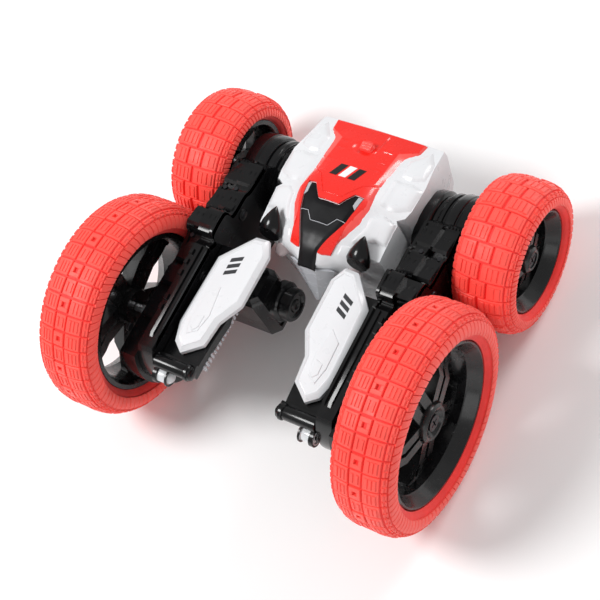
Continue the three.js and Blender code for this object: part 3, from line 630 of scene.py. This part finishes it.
def drum_rings(shape):
    """The pivot drum beside the body: stepped rings with a deep groove between them."""
    for profile in (
        [(25.4, 9), (25.4, 12.4), (26.2, 13.4), (27.4, 14.0), (30.6, 14.3), (31.4, 13.8), (31.8, 13.0),
         (33.0, 13.0), (33.6, 14.0), (34.4, 14.6), (35.6, 14.6), (36.0, 13.6), (36.0, 9)],
        [(36.6, 9), (36.6, 14.0), (37.2, 15.0), (38.4, 15.4), (40.6, 15.4), (41.0, 15.0), (41.4, 15.0),
         (41.8, 15.4), (44.4, 15.2), (45.6, 14.2), (46.0, 12.6), (46.0, 9)],
    ):
        turned(shape, profile, REAR_AXLE, 72)


def top_boxes(shape):
    """Housings, pads, ribs and screws along the top of the arm."""
    for x0, x1, y0, y1, base, back, front in WEDGES:
        blunt = [(y0 + 1.4, front), (y0 + 0.3, front - 0.7), (y0, front - 2.2)]
        side_slab(shape, [(y0, base), (y1, base), (y1, back), *blunt], x0, x1, 0.8, 3)
    for x, y, z in PAD_PAIRS:
        for x0 in (x - 1.5, x + 0.5):
            block(shape, x0, x0 + 1.0, y - 2.4, y + 2.0, z - 1.0, z + 0.4, 0.25, taper=0.15)
    for i in range(4):
        block(shape, 34.6 + 1.2 * i, 35.2 + 1.2 * i, 9.6, 12.0, 52.0, 54.6, 0.15)
        block(shape, 40.8 + 1.2 * i, 41.4 + 1.2 * i, 33.2, 36.0, 42.0, 46.2, 0.15)
    for y in (-6.5, -10.5, -15.0, -25.0, -29.0):
        block(shape, 37.6, 39.3, y - 1.2, y + 1.2, 53.0, 54.9, 0.3, taper=0.2)
    for x, y, z in TOP_SCREWS:
        ring = [(x + 0.8 * math.cos(a), y + 0.8 * math.sin(a)) for a in round_turn(14)]
        ringed(shape, [(ring, z - 1.2), (ring, z + 0.5)], 0.2, index=1)


def crest(shape, profile, x0, x1):
    """A rail that follows the top of a case."""
    line = smooth_line(profile, 4)
    side_slab(shape, [(y, z + 0.7) for y, z in line] + [(y, z - 2.0) for y, z in line[::-1]], x0, x1, 0.3)


def lips(shape):
    """The double lip that runs straight along the inner top edge."""
    for x0, x1, high in ((33.3, 34.4, 55.0), (35.6, 36.8, 54.8)):
        side_slab(shape, [(-43.8, 52.0), (-3.4, 52.0), (-3.4, high), (-39.0, high)], x0, x1, 0.35)


def arm_piece(shape, side, name, slot, materials, node):
    shape.build(f"{side}_{name}", f"{side}_arm", slot, materials, [f"{side}_{node}"])


def gear_case(side):
    """The two halves of an arm's case."""
    inner = Shape()
    side_slab(inner, case_outline(21, 14, HUMPS_INNER, 54), CASE_INNER_X, CASE_SPLIT_X - CASE_GAP, 0.6, 3)
    drum_rings(inner)
    lips(inner)
    crest(inner, HUMPS_INNER, CASE_INNER_X, CASE_INNER_X + 1.1)
    for spot in INNER_BOSSES:
        turned(inner, knob_profile(33.4, 32.8, 2.3, 0.3), spot, 24)
        turned(inner, knob_profile(33.0, 32.6, 1.3, 0.3), spot, 16, 1)
    arm_piece(inner, side, "arm_inner", "black_gloss", [BLACK, DARK_STEEL], "inner_gear_case")
    outer = Shape()
    side_slab(outer, case_outline(23, 15, HUMPS_OUTER, 51.5), CASE_SPLIT_X + CASE_GAP, CASE_OUTER_X, 0.9, 3)
    top_boxes(outer)
    crest(outer, HUMPS_OUTER, CASE_OUTER_X - 1.2, CASE_OUTER_X)
    turned(outer, knob_profile(45.8, 47.0, 9.0, 0.5), FRONT_AXLE, 56)
    turned(outer, knob_profile(46.8, 48.0, 4.2, 0.5), FRONT_AXLE, 40)
    turned(outer, knob_profile(45.8, 46.8, 7.0), REAR_AXLE, 48)
    for spot in OUTER_SCREWS:
        turned(outer, knob_profile(45.2, 46.4, 1.5, 0.3), spot, 20, 1)
    arm_piece(outer, side, "arm_outer", "black_gloss", [BLACK, DARK_STEEL], "outer_gear_case")


# ---- wing, bracket, lamp and motor of an arm
# Plan outlines (x, y).
WING = [
    (20.9, 7.9), (30.7, -3.5), (31.4, -22), (31.7, -30.2), (29.5, -37.5), (25.4, -40.8),
    (18.6, -35.3), (17.6, -26), (13, -17.5), (12.8, 2.5), (15.7, 8.2),
]
WING_FIELD = [
    (20.2, 5.2), (28.4, -4.6), (29.2, -22), (29.3, -30.0), (27.8, -35.8), (25.0, -38.2),
    (20.4, -34.4), (19.6, -25.6), (15.0, -16.8), (14.8, 2.0), (16.8, 5.4),
]
WING_PANEL = [(22.6, -13.5), (27.6, -18.0), (27.9, -28.0), (26.4, -34.6), (22.4, -32.0), (21.0, -25.0)]
WING_TIP = [(22.6, -25.6), (26.0, -26.8), (26.2, -31.0), (24.4, -32.8), (22.8, -30.6)]
BRACKET = [(33.0, -44), (18, -44), (17.2, -30), (16.6, -24), (19.0, -14), (23.4, 2), (33.0, 2)]
MOTOR_PLAN = [(13.2, -10), (16.2, -13), (33, -13), (33, 3), (15.6, 3), (13.2, 0.8)]


def wing(side):
    """A faceted plate with a sunken field, two raised panels and three plain slanted stripes."""
    shape = Shape()
    ringed(shape, [
        (grown(WING, -0.5), 47.6), (WING, 48.0), (WING, 49.7), (grown(WING, -1.5), 51.1),
        (grown(WING_FIELD, 0.35), 51.2), (WING_FIELD, 50.95), (grown(WING_FIELD, -2.6), 51.15),
    ], 0.16, angle=12)
    for y0, y1 in ((-3.6, -2.0), (-6.2, -4.6), (-8.8, -7.2)):
        stripe = [(20.6, y0 + 1.2), (24.8, y0 - 0.9), (24.8, y1 - 0.9), (20.6, y1 + 1.2)]
        ringed(shape, [(stripe, 50.9), (stripe, 51.22)], index=1)
    for rings in (
        [(WING_PANEL, 50.8), (grown(WING_PANEL, -0.5), 51.4), (grown(WING_PANEL, -1.6), 51.5)],
        [(WING_TIP, 51.3), (grown(WING_TIP, -0.4), 51.75), (grown(WING_TIP, -1.0), 51.8)],
    ):
        ringed(shape, rings, 0.1, angle=12)
    arm_piece(shape, side, "wing", "white_shell", [WHITE, MARK_GREY], "wing_cover")


def bracket(side):
    """The plate under the wing, with its cross bar, a row of ribs and the rings that hold the lamp."""
    shape = Shape()
    ringed(shape, [(BRACKET, 43.5), (BRACKET, 47.2)], 0.5)
    block(shape, 22.0, 33.0, -42, -14, 40.2, 44.0, 0.8)
    block(shape, 17.4, 32.9, -46.2, -42.6, 44.4, 49.0, 0.7)
    collar = [(18.6, 2.4), (18.6, 2.8), (18.9, 3.0), (19.9, 3.0), (20.2, 2.8), (20.2, 2.4)]
    turned(shape, knob_profile(32.9, 17.6, 2.55, 0.5), CROSS_BAR_AXIS, 32)
    turned(shape, knob_profile(17.8, 17.0, 1.6), CROSS_BAR_AXIS, 20)
    turned(shape, collar, CROSS_BAR_AXIS, 32)
    for i in range(15):
        y = -41.5 + i * 1.75
        block(shape, 17.5, 22.4, y, y + 0.9, 41.0, 44.2, 0.2, index=1)
    for x0, x1 in ((31.2, 32.9), (26.9, 27.6)):
        ring = [(x0, 2.75), (x0, 3.2), (x0 + 0.2, 3.4), (x1, 3.4), (x1, 2.75)]
        turned(shape, ring, LAMP_AXIS, 32)
    arm_piece(shape, side, "bracket", "black_gloss", [BLACK, GREY], "arm_bracket")


def lamp(side):
    """A clear dome with a bright reflector inside it."""
    shape = Shape()
    turned(shape, [
        (25.7, PINHOLE), (25.8, 0.9), (26.2, 1.7), (26.9, 2.35), (27.8, 2.65), (33.0, 2.7), (33.0, 2.2),
        (28.0, 2.1), (27.0, 1.4), (26.6, PINHOLE),
    ], LAMP_AXIS, 40)
    reflector = [(27.8, PINHOLE), (28.2, 1.3), (29.6, 1.9), (32.6, 1.95), (32.6, PINHOLE)]
    turned(shape, reflector, LAMP_AXIS, 32, 1)
    arm_piece(shape, side, "lamp", "clear_lens", [LENS, CHROME], "lamp_lens")


def motor(side):
    """The chamfered motor housing, with a stepped round cap that faces the body."""
    shape = Shape()
    ringed(shape, [
        (grown(MOTOR_PLAN, -2.0), 12.0), (grown(MOTOR_PLAN, -0.4), 13.6), (MOTOR_PLAN, 14.4),
        (MOTOR_PLAN, 36.6), (grown(MOTOR_PLAN, -0.7), 37.4), (grown(MOTOR_PLAN, -1.6), 40.0),
    ], 0.35, angle=15)
    turned(shape, [
        (14.0, PINHOLE), (14.0, 7.6), (11.2, 7.6), (10.5, 7.1), (10.2, 6.3), (7.2, 6.2), (6.5, 5.6),
        (6.4, 4.5), (7.2, 3.9), (7.2, 2.6), (6.6, 2.3), (6.5, 1.4), (7.1, 1.1), (7.3, PINHOLE),
    ], MOTOR_AXIS, 56)
    for z in (16.5, 19.0, 33.0, 35.5):
        block(shape, 12.9, 14.0, -9.4, 1.0, z - 0.4, z + 0.4, 0.15)
    for y in (-10.8, -0.6):
        block(shape, 16.0, 32.6, y, y + 1.4, 39.5, 41.0, 0.3)
    arm_piece(shape, side, "motor_pod", "black_satin", [BLACK], "motor_housing")


# ---- body
# y, and a half section (x, z) from the crown, over the shoulder and down the flank.
SECTIONS = [
    (6.4, [(0, 48.2), (2, 48.0), (3.4, 47.5), (3.6, 46.4), (3.5, 44), (3.2, 36), (3, 24), (0, 24)]),
    (9.4, [(0, 50.7), (3.6, 50.4), (7.0, 48.6), (8.8, 46), (9.6, 43), (9.6, 35), (9.2, 14), (0, 13.5)]),
    (11, [(0, 51.5), (4, 51.2), (8.8, 49.4), (12.4, 46.8), (14.4, 43.4), (14.4, 35), (14.4, 12), (0, 11)]),
    (15, [(0, 52.8), (6, 52.3), (10, 50.5), (16, 48), (24.5, 47), (25, 44.5), (23, 12), (0, 10)]),
    (26, [(0, 54.3), (9, 53.8), (14.6, 51.3), (18, 49.8), (24.6, 48.2), (25.2, 44.5), (23.6, 12), (0, 10)]),
    (29, [(0, 54.5), (9, 54), (14.6, 51.6), (18, 49.8), (24.8, 48.2), (25.4, 44.4), (23.8, 12), (0, 10)]),
    (31, [(0, 54.5), (9, 54), (14.6, 51.6), (17.8, 49.6), (23.4, 47.8), (23.8, 43.6), (23.8, 12), (0, 10)]),
    (32.6, [(0, 54.2), (9, 53.7), (14.6, 51.4), (18, 49.3), (26, 48), (26.4, 44.4), (24, 12), (0, 10)]),
    (36, [(0, 53.4), (9, 53), (14.4, 51), (18, 48.6), (26.8, 47.6), (27.2, 44.2), (24, 12), (0, 10)]),
    (46, [(0, 49.8), (9, 49.5), (14.4, 48.6), (18, 47.4), (27, 46.8), (28, 44), (24, 12), (0, 10)]),
    (55, [(0, 46.9), (9, 46.7), (16, 46), (20, 45.2), (25.5, 44.8), (26.6, 42.6), (24, 14), (0, 12)]),
    (63.5, [(0, 43.8), (9, 43.6), (19, 43.2), (21.5, 42.8), (24.6, 42.2), (25.2, 40), (23, 20), (0, 19)]),
]
SPLIT_Z = 27.0
SPLIT_GAP = 0.12  # from the split to each shell
NOSE_SLOPE = 0.8  # how steeply the crown goes on falling ahead of the nose


def body_half(shape, upper, bevel):
    """One shell of the body, above or below the split."""
    points = []
    for y, half in SECTIONS:
        (high_x, high_z), (low_x, low_z) = half[5:7]
        split_x = float(np.interp(SPLIT_Z, [low_z, high_z], [low_x, high_x]))
        if upper:
            right = half[:6] + [(split_x, SPLIT_Z + SPLIT_GAP), (0, SPLIT_Z + SPLIT_GAP)]
        else:
            floor = max(half[-1][1], 10.0)
            bottom = min(low_z, SPLIT_Z - 1)
            right = [(0, SPLIT_Z - SPLIT_GAP), (split_x, SPLIT_Z - SPLIT_GAP)]
            right += [(low_x, bottom), (low_x * 0.8, floor), (0, min(floor, bottom))]
        ring = right + mirrored(right[1:-1])[::-1]
        points += [(x, y, z) for x, z in ring]
    shape.closed(points, tube_faces(len(SECTIONS), len(ring)), bevel, 3, angle=14)


def crown_finder():
    """A function of (x, y) that gives the height of the upper shell's top, by ray casting."""
    shape = Shape()
    body_half(shape, True, 0.0)
    tree = BVHTree.FromBMesh(shape.bm)
    shape.bm.free()
    front, rear = SECTIONS[0][0] + 0.1, SECTIONS[-1][0] - 0.1
    above = 90

    def height(x, y):
        held = min(max(y, front), rear)
        for shrink in (1.0, 0.96, 0.9, 0.8, 0.6, 0.3, 0.0):  # a ray that misses is tried nearer the middle
            hit = tree.ray_cast(Vector((x * shrink, held, above)), Vector((0, 0, -1)))[0]
            if hit:
                break
        return hit.z - NOSE_SLOPE * max(0.0, front - y)

    return height


crown = crown_finder()

# Plan outlines and lines (x, y) on the crown: a half is the +X side, from the nose back.
COVER_HALF = [
    (5, 9.6), (8.2, 10.6), (8.9, 14.6), (11.2, 18.6), (14.2, 24), (14.8, 30), (13.8, 38),
    (15.2, 54), (18.4, 58.8), (19, 62.8),
]
RIDGE_HALF = [(8.9, 14.6), (9.9, 21.4), (13.1, 30.4), (11.6, 40.8), (11.6, 55.5), (17.4, 58.6), (18, 62.8)]
GLASS_HALF = [(3.4, 4.8), (3.5, 10), (4.4, 12.5), (9, 22.4), (10.4, 28), (11, 32.8), (8, 32.6), (4.2, 27.4)]
BAY_HALF = [(3.8, 10.0), (4.7, 12.4), (9.3, 22.3), (10.7, 28), (11.35, 33.1), (7.9, 32.95), (4.1, 27.7)]
CHEVRON = both([(13.6, 39.8), (12, 39), (8.5, 37), (3.8, 30.4)])[::-1]
KNOB_BAY = [(-4.4, 50.2), (-5.7, 53.4), (-3.6, 57), (2.4, 57), (3.6, 54.0), (2.4, 50.2)]
DASHES = [
    [(6.4, 54.2), (9.6, 54.2)], [(6.8, 49.2), (10.0, 49.2)], [(7.0, 45.4), (10.4, 45.4)],
    [(-13.0, 45.0), (-10.2, 45.0)], [(-10.6, 51.0), (-8.2, 51.0)], [(-10.4, 54.4), (-8.6, 54.4)],
]
SLASH = [(4.5, 61.2), (3.9, 52.8)]
COVER_RISE = 0.75
LINE_HALF = 0.3  # half widths of the engraved lines, of the raised slash, and the bay's sloping edge
SLASH_HALF = 0.35
BAY_EDGE = 0.45


def to_line(x, y, line):
    """Distance from a point to a polyline."""
    here = Vector((x, y))
    nearest = math.inf
    for a, b in zip(line, line[1:]):
        a, b = Vector(a), Vector(b)
        share = min(1.0, max(0.0, (here - a).dot(b - a) / (b - a).length_squared))
        nearest = min(nearest, (here - a - (b - a) * share).length)
    return nearest


def near_line(x, y, line, half):
    """1 on a line, falling to 0 at the distance half from it."""
    return max(0.0, 1 - to_line(x, y, line) / half)


def inside(x, y, outline):
    """Whether a point lies inside, by how often a ray from it crosses the outline."""
    odd = False
    ends = looped(outline)
    for (x0, y0), (x1, y1) in zip(ends, ends[1:]):
        if (y0 > y) != (y1 > y) and x < x0 + (y - y0) / (y1 - y0) * (x1 - x0):
            odd = not odd
    return odd


def bisect(grid, parts, place, normal):
    bmesh.ops.bisect_plane(grid, geom=parts, dist=0.02, plane_co=place, plane_no=normal)


def slice_along(grid, line, offsets):
    """Cuts a flat grid along a polyline, at each sideways offset."""
    margin = 0.6
    for a, b in zip(line, line[1:]):
        a, b = Vector((*a, 0)), Vector((*b, 0))
        along = (b - a).normalized()
        across = Vector((along.y, -along.x, 0))
        for offset in offsets:
            near = []
            for face in grid.faces:
                shares = [(v.co - a).dot(along) for v in face.verts]
                if max(shares) > -margin and min(shares) < (b - a).length + margin:
                    near.append(face)
            parts = {e for f in near for e in f.edges} | {v for f in near for v in f.verts}
            bisect(grid, [*near, *parts], a + across * offset, across)


def crown_sheet(shape, outline, low, high, bevel=0.0, step=1.6, cuts=(), tint=None, index=0):
    """A plate that follows the crown, from low to high above it; high may be a function of (x, y).

    cuts are (line, offsets) pairs, and tint gives the material of a piece of the top by its middle."""
    ring = anticlockwise(outline)
    grid = bmesh.new()
    grid.faces.new([grid.verts.new((x, y, 0)) for x, y in ring]).normal_update()
    for values, normal in zip(zip(*ring), (Vector((1, 0, 0)), Vector((0, 1, 0)))):
        for place in np.arange(math.floor(min(values) / step) * step + step, max(values), step):
            bisect(grid, grid.verts[:] + grid.edges[:] + grid.faces[:], normal * place, normal)
    for line, offsets in cuts:
        slice_along(grid, line, offsets)
    grid.verts.index_update()
    rise = high if callable(high) else (lambda x, y: high)
    flat = [(v.co.x, v.co.y, crown(v.co.x, v.co.y)) for v in grid.verts]
    points = [(x, y, top + rise(x, y)) for x, y, top in flat] + [(x, y, top + low) for x, y, top in flat]
    faces = [[v.index for v in f.verts] for f in grid.faces]
    count = len(flat)
    sides = []
    for edge in grid.edges:
        if edge.is_boundary:
            loop = edge.link_loops[0]
            a, b = loop.vert.index, loop.link_loop_next.vert.index
            sides.append((b, a, a + count, b + count))
    lower = [[i + count for i in f][::-1] for f in faces]
    shape.closed(points, faces + lower + sides, bevel, angle=40, tint=tint, index=index)
    grid.free()


def chamfer_share(x, y):
    """How far a point is down the cover's chamfered side: 0 at the ridge, 1 at the edge."""
    edge, ridge = (np.interp(y, *list(zip(*half))[::-1]) for half in (COVER_HALF, RIDGE_HALF))
    return min(1.0, max(0.0, (abs(x) - ridge) / max(0.2, edge - ridge)))


def cover_rise(x, y):
    """The cover's thickness above the body: chamfered sides, engraved lines and the switch's bay."""
    rise = COVER_RISE - 1.05 * chamfer_share(x, y)
    rise -= 0.28 * max(near_line(x, y, line, LINE_HALF) for line in [CHEVRON, *DASHES])
    rise += 0.3 * near_line(x, y, SLASH, SLASH_HALF)
    if inside(x, y, KNOB_BAY):
        rise -= 0.6 * (1 - near_line(x, y, looped(KNOB_BAY), BAY_EDGE))
    return rise


def cover():
    """The red cover, with a painted highlight in lighter red on its chamfers, and three plain slanted
    stripes.
    """
    shape = Shape()
    outline = both([(3.8, 9.57)] + COVER_HALF) + mirrored(BAY_HALF) + BAY_HALF[::-1]
    sides = (-LINE_HALF, 0.0, LINE_HALF)
    cuts = [(RIDGE_HALF, (0.0,)), (mirrored(RIDGE_HALF), (0.0,)), (CHEVRON, sides)]
    cuts += [(line, sides) for line in DASHES]
    cuts += [(SLASH, (-SLASH_HALF, 0.0, SLASH_HALF)), (looped(KNOB_BAY), (-BAY_EDGE, 0.0))]

    def tint(x, y):
        # the chamfer faces take the lighter red as a painted highlight
        return 3 if chamfer_share(x, y) > 0.08 else 0

    crown_sheet(shape, outline, -1.0, cover_rise, 0.15, 1.6, cuts, tint)
    for i in (-1, 0, 1):
        x = i * 3.7
        mark = [(x - 2.2, 38.2), (x + 0.6, 38.2), (x + 2.2, 43.8), (x - 0.6, 43.8)]
        crown_sheet(shape, mark, 0.3, COVER_RISE + 0.12, index=2 if i else 1)
    shape.build("red_cover", "body", "red_cover", [RED, MARK_WHITE, BLACK_PRINT_AND_SLOT_SHADE, KNOB_RED_AND_CHAMFER_SHEEN], ["top_cover"])


DIVIDER = both([(9.2, 22.2), (5.9, 22.4), (3.5, 19.3)])[::-1]
GLASS_EDGE = 1.1  # width of the windshield's sloping edge


def glass_rise(x, y):
    edge = near_line(x, y, both(GLASS_HALF), GLASS_EDGE)
    return 0.5 - 0.3 * edge - 0.35 * near_line(x, y, DIVIDER, LINE_HALF)


def windshield():
    """The two panels with a fine line between them and a light glint at each rear corner."""
    shape = Shape()
    outline = both(GLASS_HALF)
    cuts = [(DIVIDER, (-LINE_HALF, 0.0, LINE_HALF)), (looped(outline), (GLASS_EDGE, -GLASS_EDGE))]
    crown_sheet(shape, outline, -1.0, glass_rise, 0.15, 1.4, cuts)
    for side in (-1, 1):
        glint = [(side * x, y) for x, y in ((10.3, 27.4), (11.0, 32.4), (9.6, 32.4), (9.2, 28.6))]
        crown_sheet(shape, glint, 0.1, 0.62, index=1)
    for a, b in zip(DIVIDER, DIVIDER[1:]):
        a, b = Vector(a), Vector(b)
        along = (b - a).normalized()
        off = Vector((along.y, -along.x)) * 0.11
        crown_sheet(shape, [tuple(p) for p in (a - off, b - off, b + off, a + off)], 0.0, 0.34, index=1)
    nodes = ["windshield_front", "windshield_rear"]
    shape.build("windshield", "body", "black_gloss", [GLASS_BLACK, GREY], nodes)


# Soft bulges moulded on the shoulders: outline, rise and the width of the soft edge.
PADS = [
    ([(16.9, 47.4), (21.0, 46.7), (25.4, 48.6), (25.2, 56.2), (21.6, 61.4), (19.4, 58.4), (16.4, 54.6)],
     1.2, 2.6),
    ([(15.6, 33.6), (21.2, 33.0), (26.6, 35.8), (27.0, 44.8), (22.6, 46.2), (15.6, 45.4)], 1.2, 3.0),
    ([(12.4, 16.8), (20.6, 20.6), (24.4, 20.6), (24.6, 29.2), (19.4, 31.0), (15.6, 27.8), (15.2, 23.4)],
     1.2, 1.6),
    ([(9.8, 11.4), (13.4, 11.4), (15.2, 14.2), (13.0, 16.2), (10.2, 15.2)], 0.6, 1.2),
]


def pad_rise(outline, rise, soft):
    """A height that climbs smoothly from an outline to a plateau."""
    def height(x, y):
        return rise * (1 - near_line(x, y, looped(outline), soft) ** 2) - 0.05

    return height


def shells():
    """The two white shells; the rear face has vent slots, drawn as black bars of painted shade, ribs and a
    bumper bar.
    """
    upper = Shape()
    body_half(upper, True, 0.45)
    for outline, rise, soft in PADS:
        for pad in (mirrored(outline), outline):
            cuts = [(looped(pad), (-0.5 * soft, 0.5 * soft))]
            crown_sheet(upper, pad, -1.2, pad_rise(pad, rise, soft), 0.0, 1.2, cuts)
    rear = SECTIONS[-1][0]
    # black bars as vent slots: painted shade where the openings would be
    for z in (31.6, 33.8, 36.0, 38.2):
        block(upper, -8, 8, rear - 0.6, rear + 0.12, z - 0.45, z + 0.45, 0.12, index=1)
    for x in (-9.4, 9.4):
        block(upper, x - 0.5, x + 0.5, rear - 0.6, rear + 0.5, 30.6, 39.2, 0.3)
    block(upper, -15, 15, rear - 0.8, rear + 0.7, 28.0, 29.4, 0.45)
    upper.build("upper_body", "body", "white_shell", [WHITE, BLACK_PRINT_AND_SLOT_SHADE], ["upper_shell"])
    lower = Shape()
    body_half(lower, False, 0.45)
    lower.build("lower_body", "body", "white_shell", [WHITE], ["lower_shell"])


def switch_knob():
    shape = Shape()
    block(shape, -2.4, 2.4, 52.0, 55.6, 45.8, 49.5, 0.4, taper=0.3, segments=3)
    for y in (52.9, 53.8, 54.7):
        block(shape, -1.9, 1.9, y - 0.2, y + 0.2, 49.2, 49.75, 0.12)
    shape.build("switch_cap", "switch_knob", "red_cover", [KNOB_RED_AND_CHAMFER_SHEEN], ["power_switch_knob"])


# Sections of an ear pod: y, z, half width, half height.
EAR_SECTIONS = [
    (11.1, 48.0, 2.6, 2.2), (11.0, 48.2, 3.9, 3.4), (12.1, 48.5, 4.6, 3.9), (14.0, 49.3, 4.3, 3.7),
    (16.2, 50.5, 3.1, 2.8), (18.4, 51.8, 1.6, 1.7), (20.0, 52.8, 0.3, 0.4),
]
EAR_X = 18
EYE_X, EYE_Z, EYE_R = 14.6, 40.8, 2.5
EYE_FRONT_Y, EYE_BACK_Y = 10, 15  # the dome's foot and the lamp's rear end
AROUND = 20  # points round an ear pod or an eye


def ears(side):
    """A pod that tapers rearwards, with a soft ridge along its top."""
    shape = Shape()
    points = []
    for y, z, width, height in EAR_SECTIONS:
        for a in round_turn(AROUND):
            up = height * math.sin(a)
            ridge = 1 + 0.12 * max(0.0, math.sin(a)) ** 8
            points.append((EAR_X + width * math.cos(a), y + 0.16 * up, z + ridge * up))
    shape.closed(points, [f[::-1] for f in tube_faces(len(EAR_SECTIONS), AROUND)])
    shape.build(f"{side}_ear", "body", "black_gloss", [BLACK], [f"{side}_ear_pod"])


def eyes(side):
    """A round lamp with a domed front."""
    shape = Shape()
    quarter = np.linspace(0, math.pi / 2, 8)
    rings = [(EYE_FRONT_Y - EYE_R * math.cos(a), max(PINHOLE, EYE_R * math.sin(a))) for a in quarter]
    rings.append((EYE_BACK_Y, EYE_R))
    points = []
    for y, r in rings:
        points += [(EYE_X + r * math.cos(t), y, EYE_Z + r * math.sin(t)) for t in round_turn(AROUND)]
    shape.closed(points, [f[::-1] for f in tube_faces(len(rings), AROUND)])
    shape.build(f"{side}_eye", "body", "clear_lens", [PINK_LENS], [f"{side}_eye_lamp"])


# ---- carried-over CAD pieces
KEPT = {
    "nose_chin": GREY, "power_switch_body": SATIN, "circuit_board": BOARD,
    "battery_pack": WRAP, "battery_door": WHITE, "battery_door_screw": STEEL,
}
KEPT_SIDE = {
    "front_axle": STEEL, "rear_axle": STEEL, "front_hub_screw": DARK_STEEL, "rear_hub_screw": DARK_STEEL,
    "front_axle_gear": NYLON, "rear_axle_gear": NYLON, "first_idler_gear": NYLON,
    "middle_idler_gear": NYLON, "rear_idler_gear": NYLON,
    "motor_pinion": STEEL, "drive_motor": STEEL, "pivot_hub": SATIN,
}


def dress(node, material):
    """Gives a CAD piece that is kept as it is a material."""
    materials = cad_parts[node].data.materials
    materials.clear()
    materials.append(material)


for name, material in KEPT.items():
    dress(name, material)
for side in SIDES:
    for name, material in KEPT_SIDE.items():
        dress(f"{side}_{name}", material)
    front_tyre(side)
    rear_tyre(side)
    rim(side, "front", FRONT_AXLE, seat=29.3, low_x=50.4, high_x=68.4, face=61.3, hub_r=7.6, spoke_half=5.0)
    rim(side, "rear", REAR_AXLE, seat=18.7, low_x=49.6, high_x=68.4, face=61.8, hub_r=5.3, spoke_half=3.8)
    gear_case(side)
    wing(side)
    bracket(side)
    lamp(side)
    motor(side)
    ears(side)
    eyes(side)
shells()
cover()
windshield()
switch_knob()


# ---- floor, light and camera
def floor():
    mesh = bpy.data.meshes.new("floor")
    reach = 3.0
    corners = [(x * reach, y * reach, 0) for x, y in ((-1, -1), (1, -1), (1, 1), (-1, 1))]
    mesh.from_pydata(corners, [], [(0, 1, 2, 3)])
    n = Nodes("pale_floor", Roughness=0.9)
    n.colour(n.noise(3, 2.0), (0.96, 0.96, 0.96), 0.01)
    mesh.materials.append(n.material)
    new_object("floor", mesh)


def soft_light(name, place, power, size):
    """A round area light that looks at the middle of the car."""
    data = bpy.data.lights.new(name, "AREA")
    data.energy = power
    data.shape = "DISK"
    data.size = size
    light = new_object(name, data)
    light.location = place
    towards = Vector((0, 0, 0.03)) - light.location
    light.rotation_euler = towards.to_track_quat("-Z", "Y").to_euler()


def studio():
    world = bpy.data.worlds.new("studio")
    world.use_nodes = True
    fill(world.node_tree.nodes["Background"], Color=(1, 1, 1, 1), Strength=0.4)
    bpy.context.scene.world = world
    soft_light("key", (-0.35, -0.25, 0.7), 4.6, 0.3)
    soft_light("rim_light", (0.25, 0.65, 0.45), 2.6, 0.3)
    soft_light("front_fill", (0.5, -0.6, 0.35), 1.2, 0.6)


def camera():
    """The photograph's view: azimuth, elevation and roll about the line of sight."""
    azimuth, elevation, roll = (math.radians(a) for a in (59.31, 58.37, -34.92))
    target = Vector((-7.42, -0.21, 24.51)) * MM
    distance = 569.1 * MM
    level = math.cos(elevation)
    back = Vector((math.sin(azimuth) * level, -math.cos(azimuth) * level, math.sin(elevation)))
    across = Vector((0, 0, 1)).cross(back).normalized()
    up = back.cross(across)
    x_axis = math.cos(roll) * across + math.sin(roll) * up
    y_axis = -math.sin(roll) * across + math.cos(roll) * up
    data = bpy.data.cameras.new("camera")
    data.lens = 95.26
    data.sensor_width = 36.0
    data.clip_start = 0.01
    viewer = new_object("camera", data)
    turn = Matrix((x_axis, y_axis, back)).transposed().to_4x4()
    viewer.matrix_world = Matrix.Translation(target + back * distance) @ turn
    bpy.context.scene.camera = viewer


floor()
studio()
camera()
bpy.context.scene.view_settings.view_transform = "Standard"
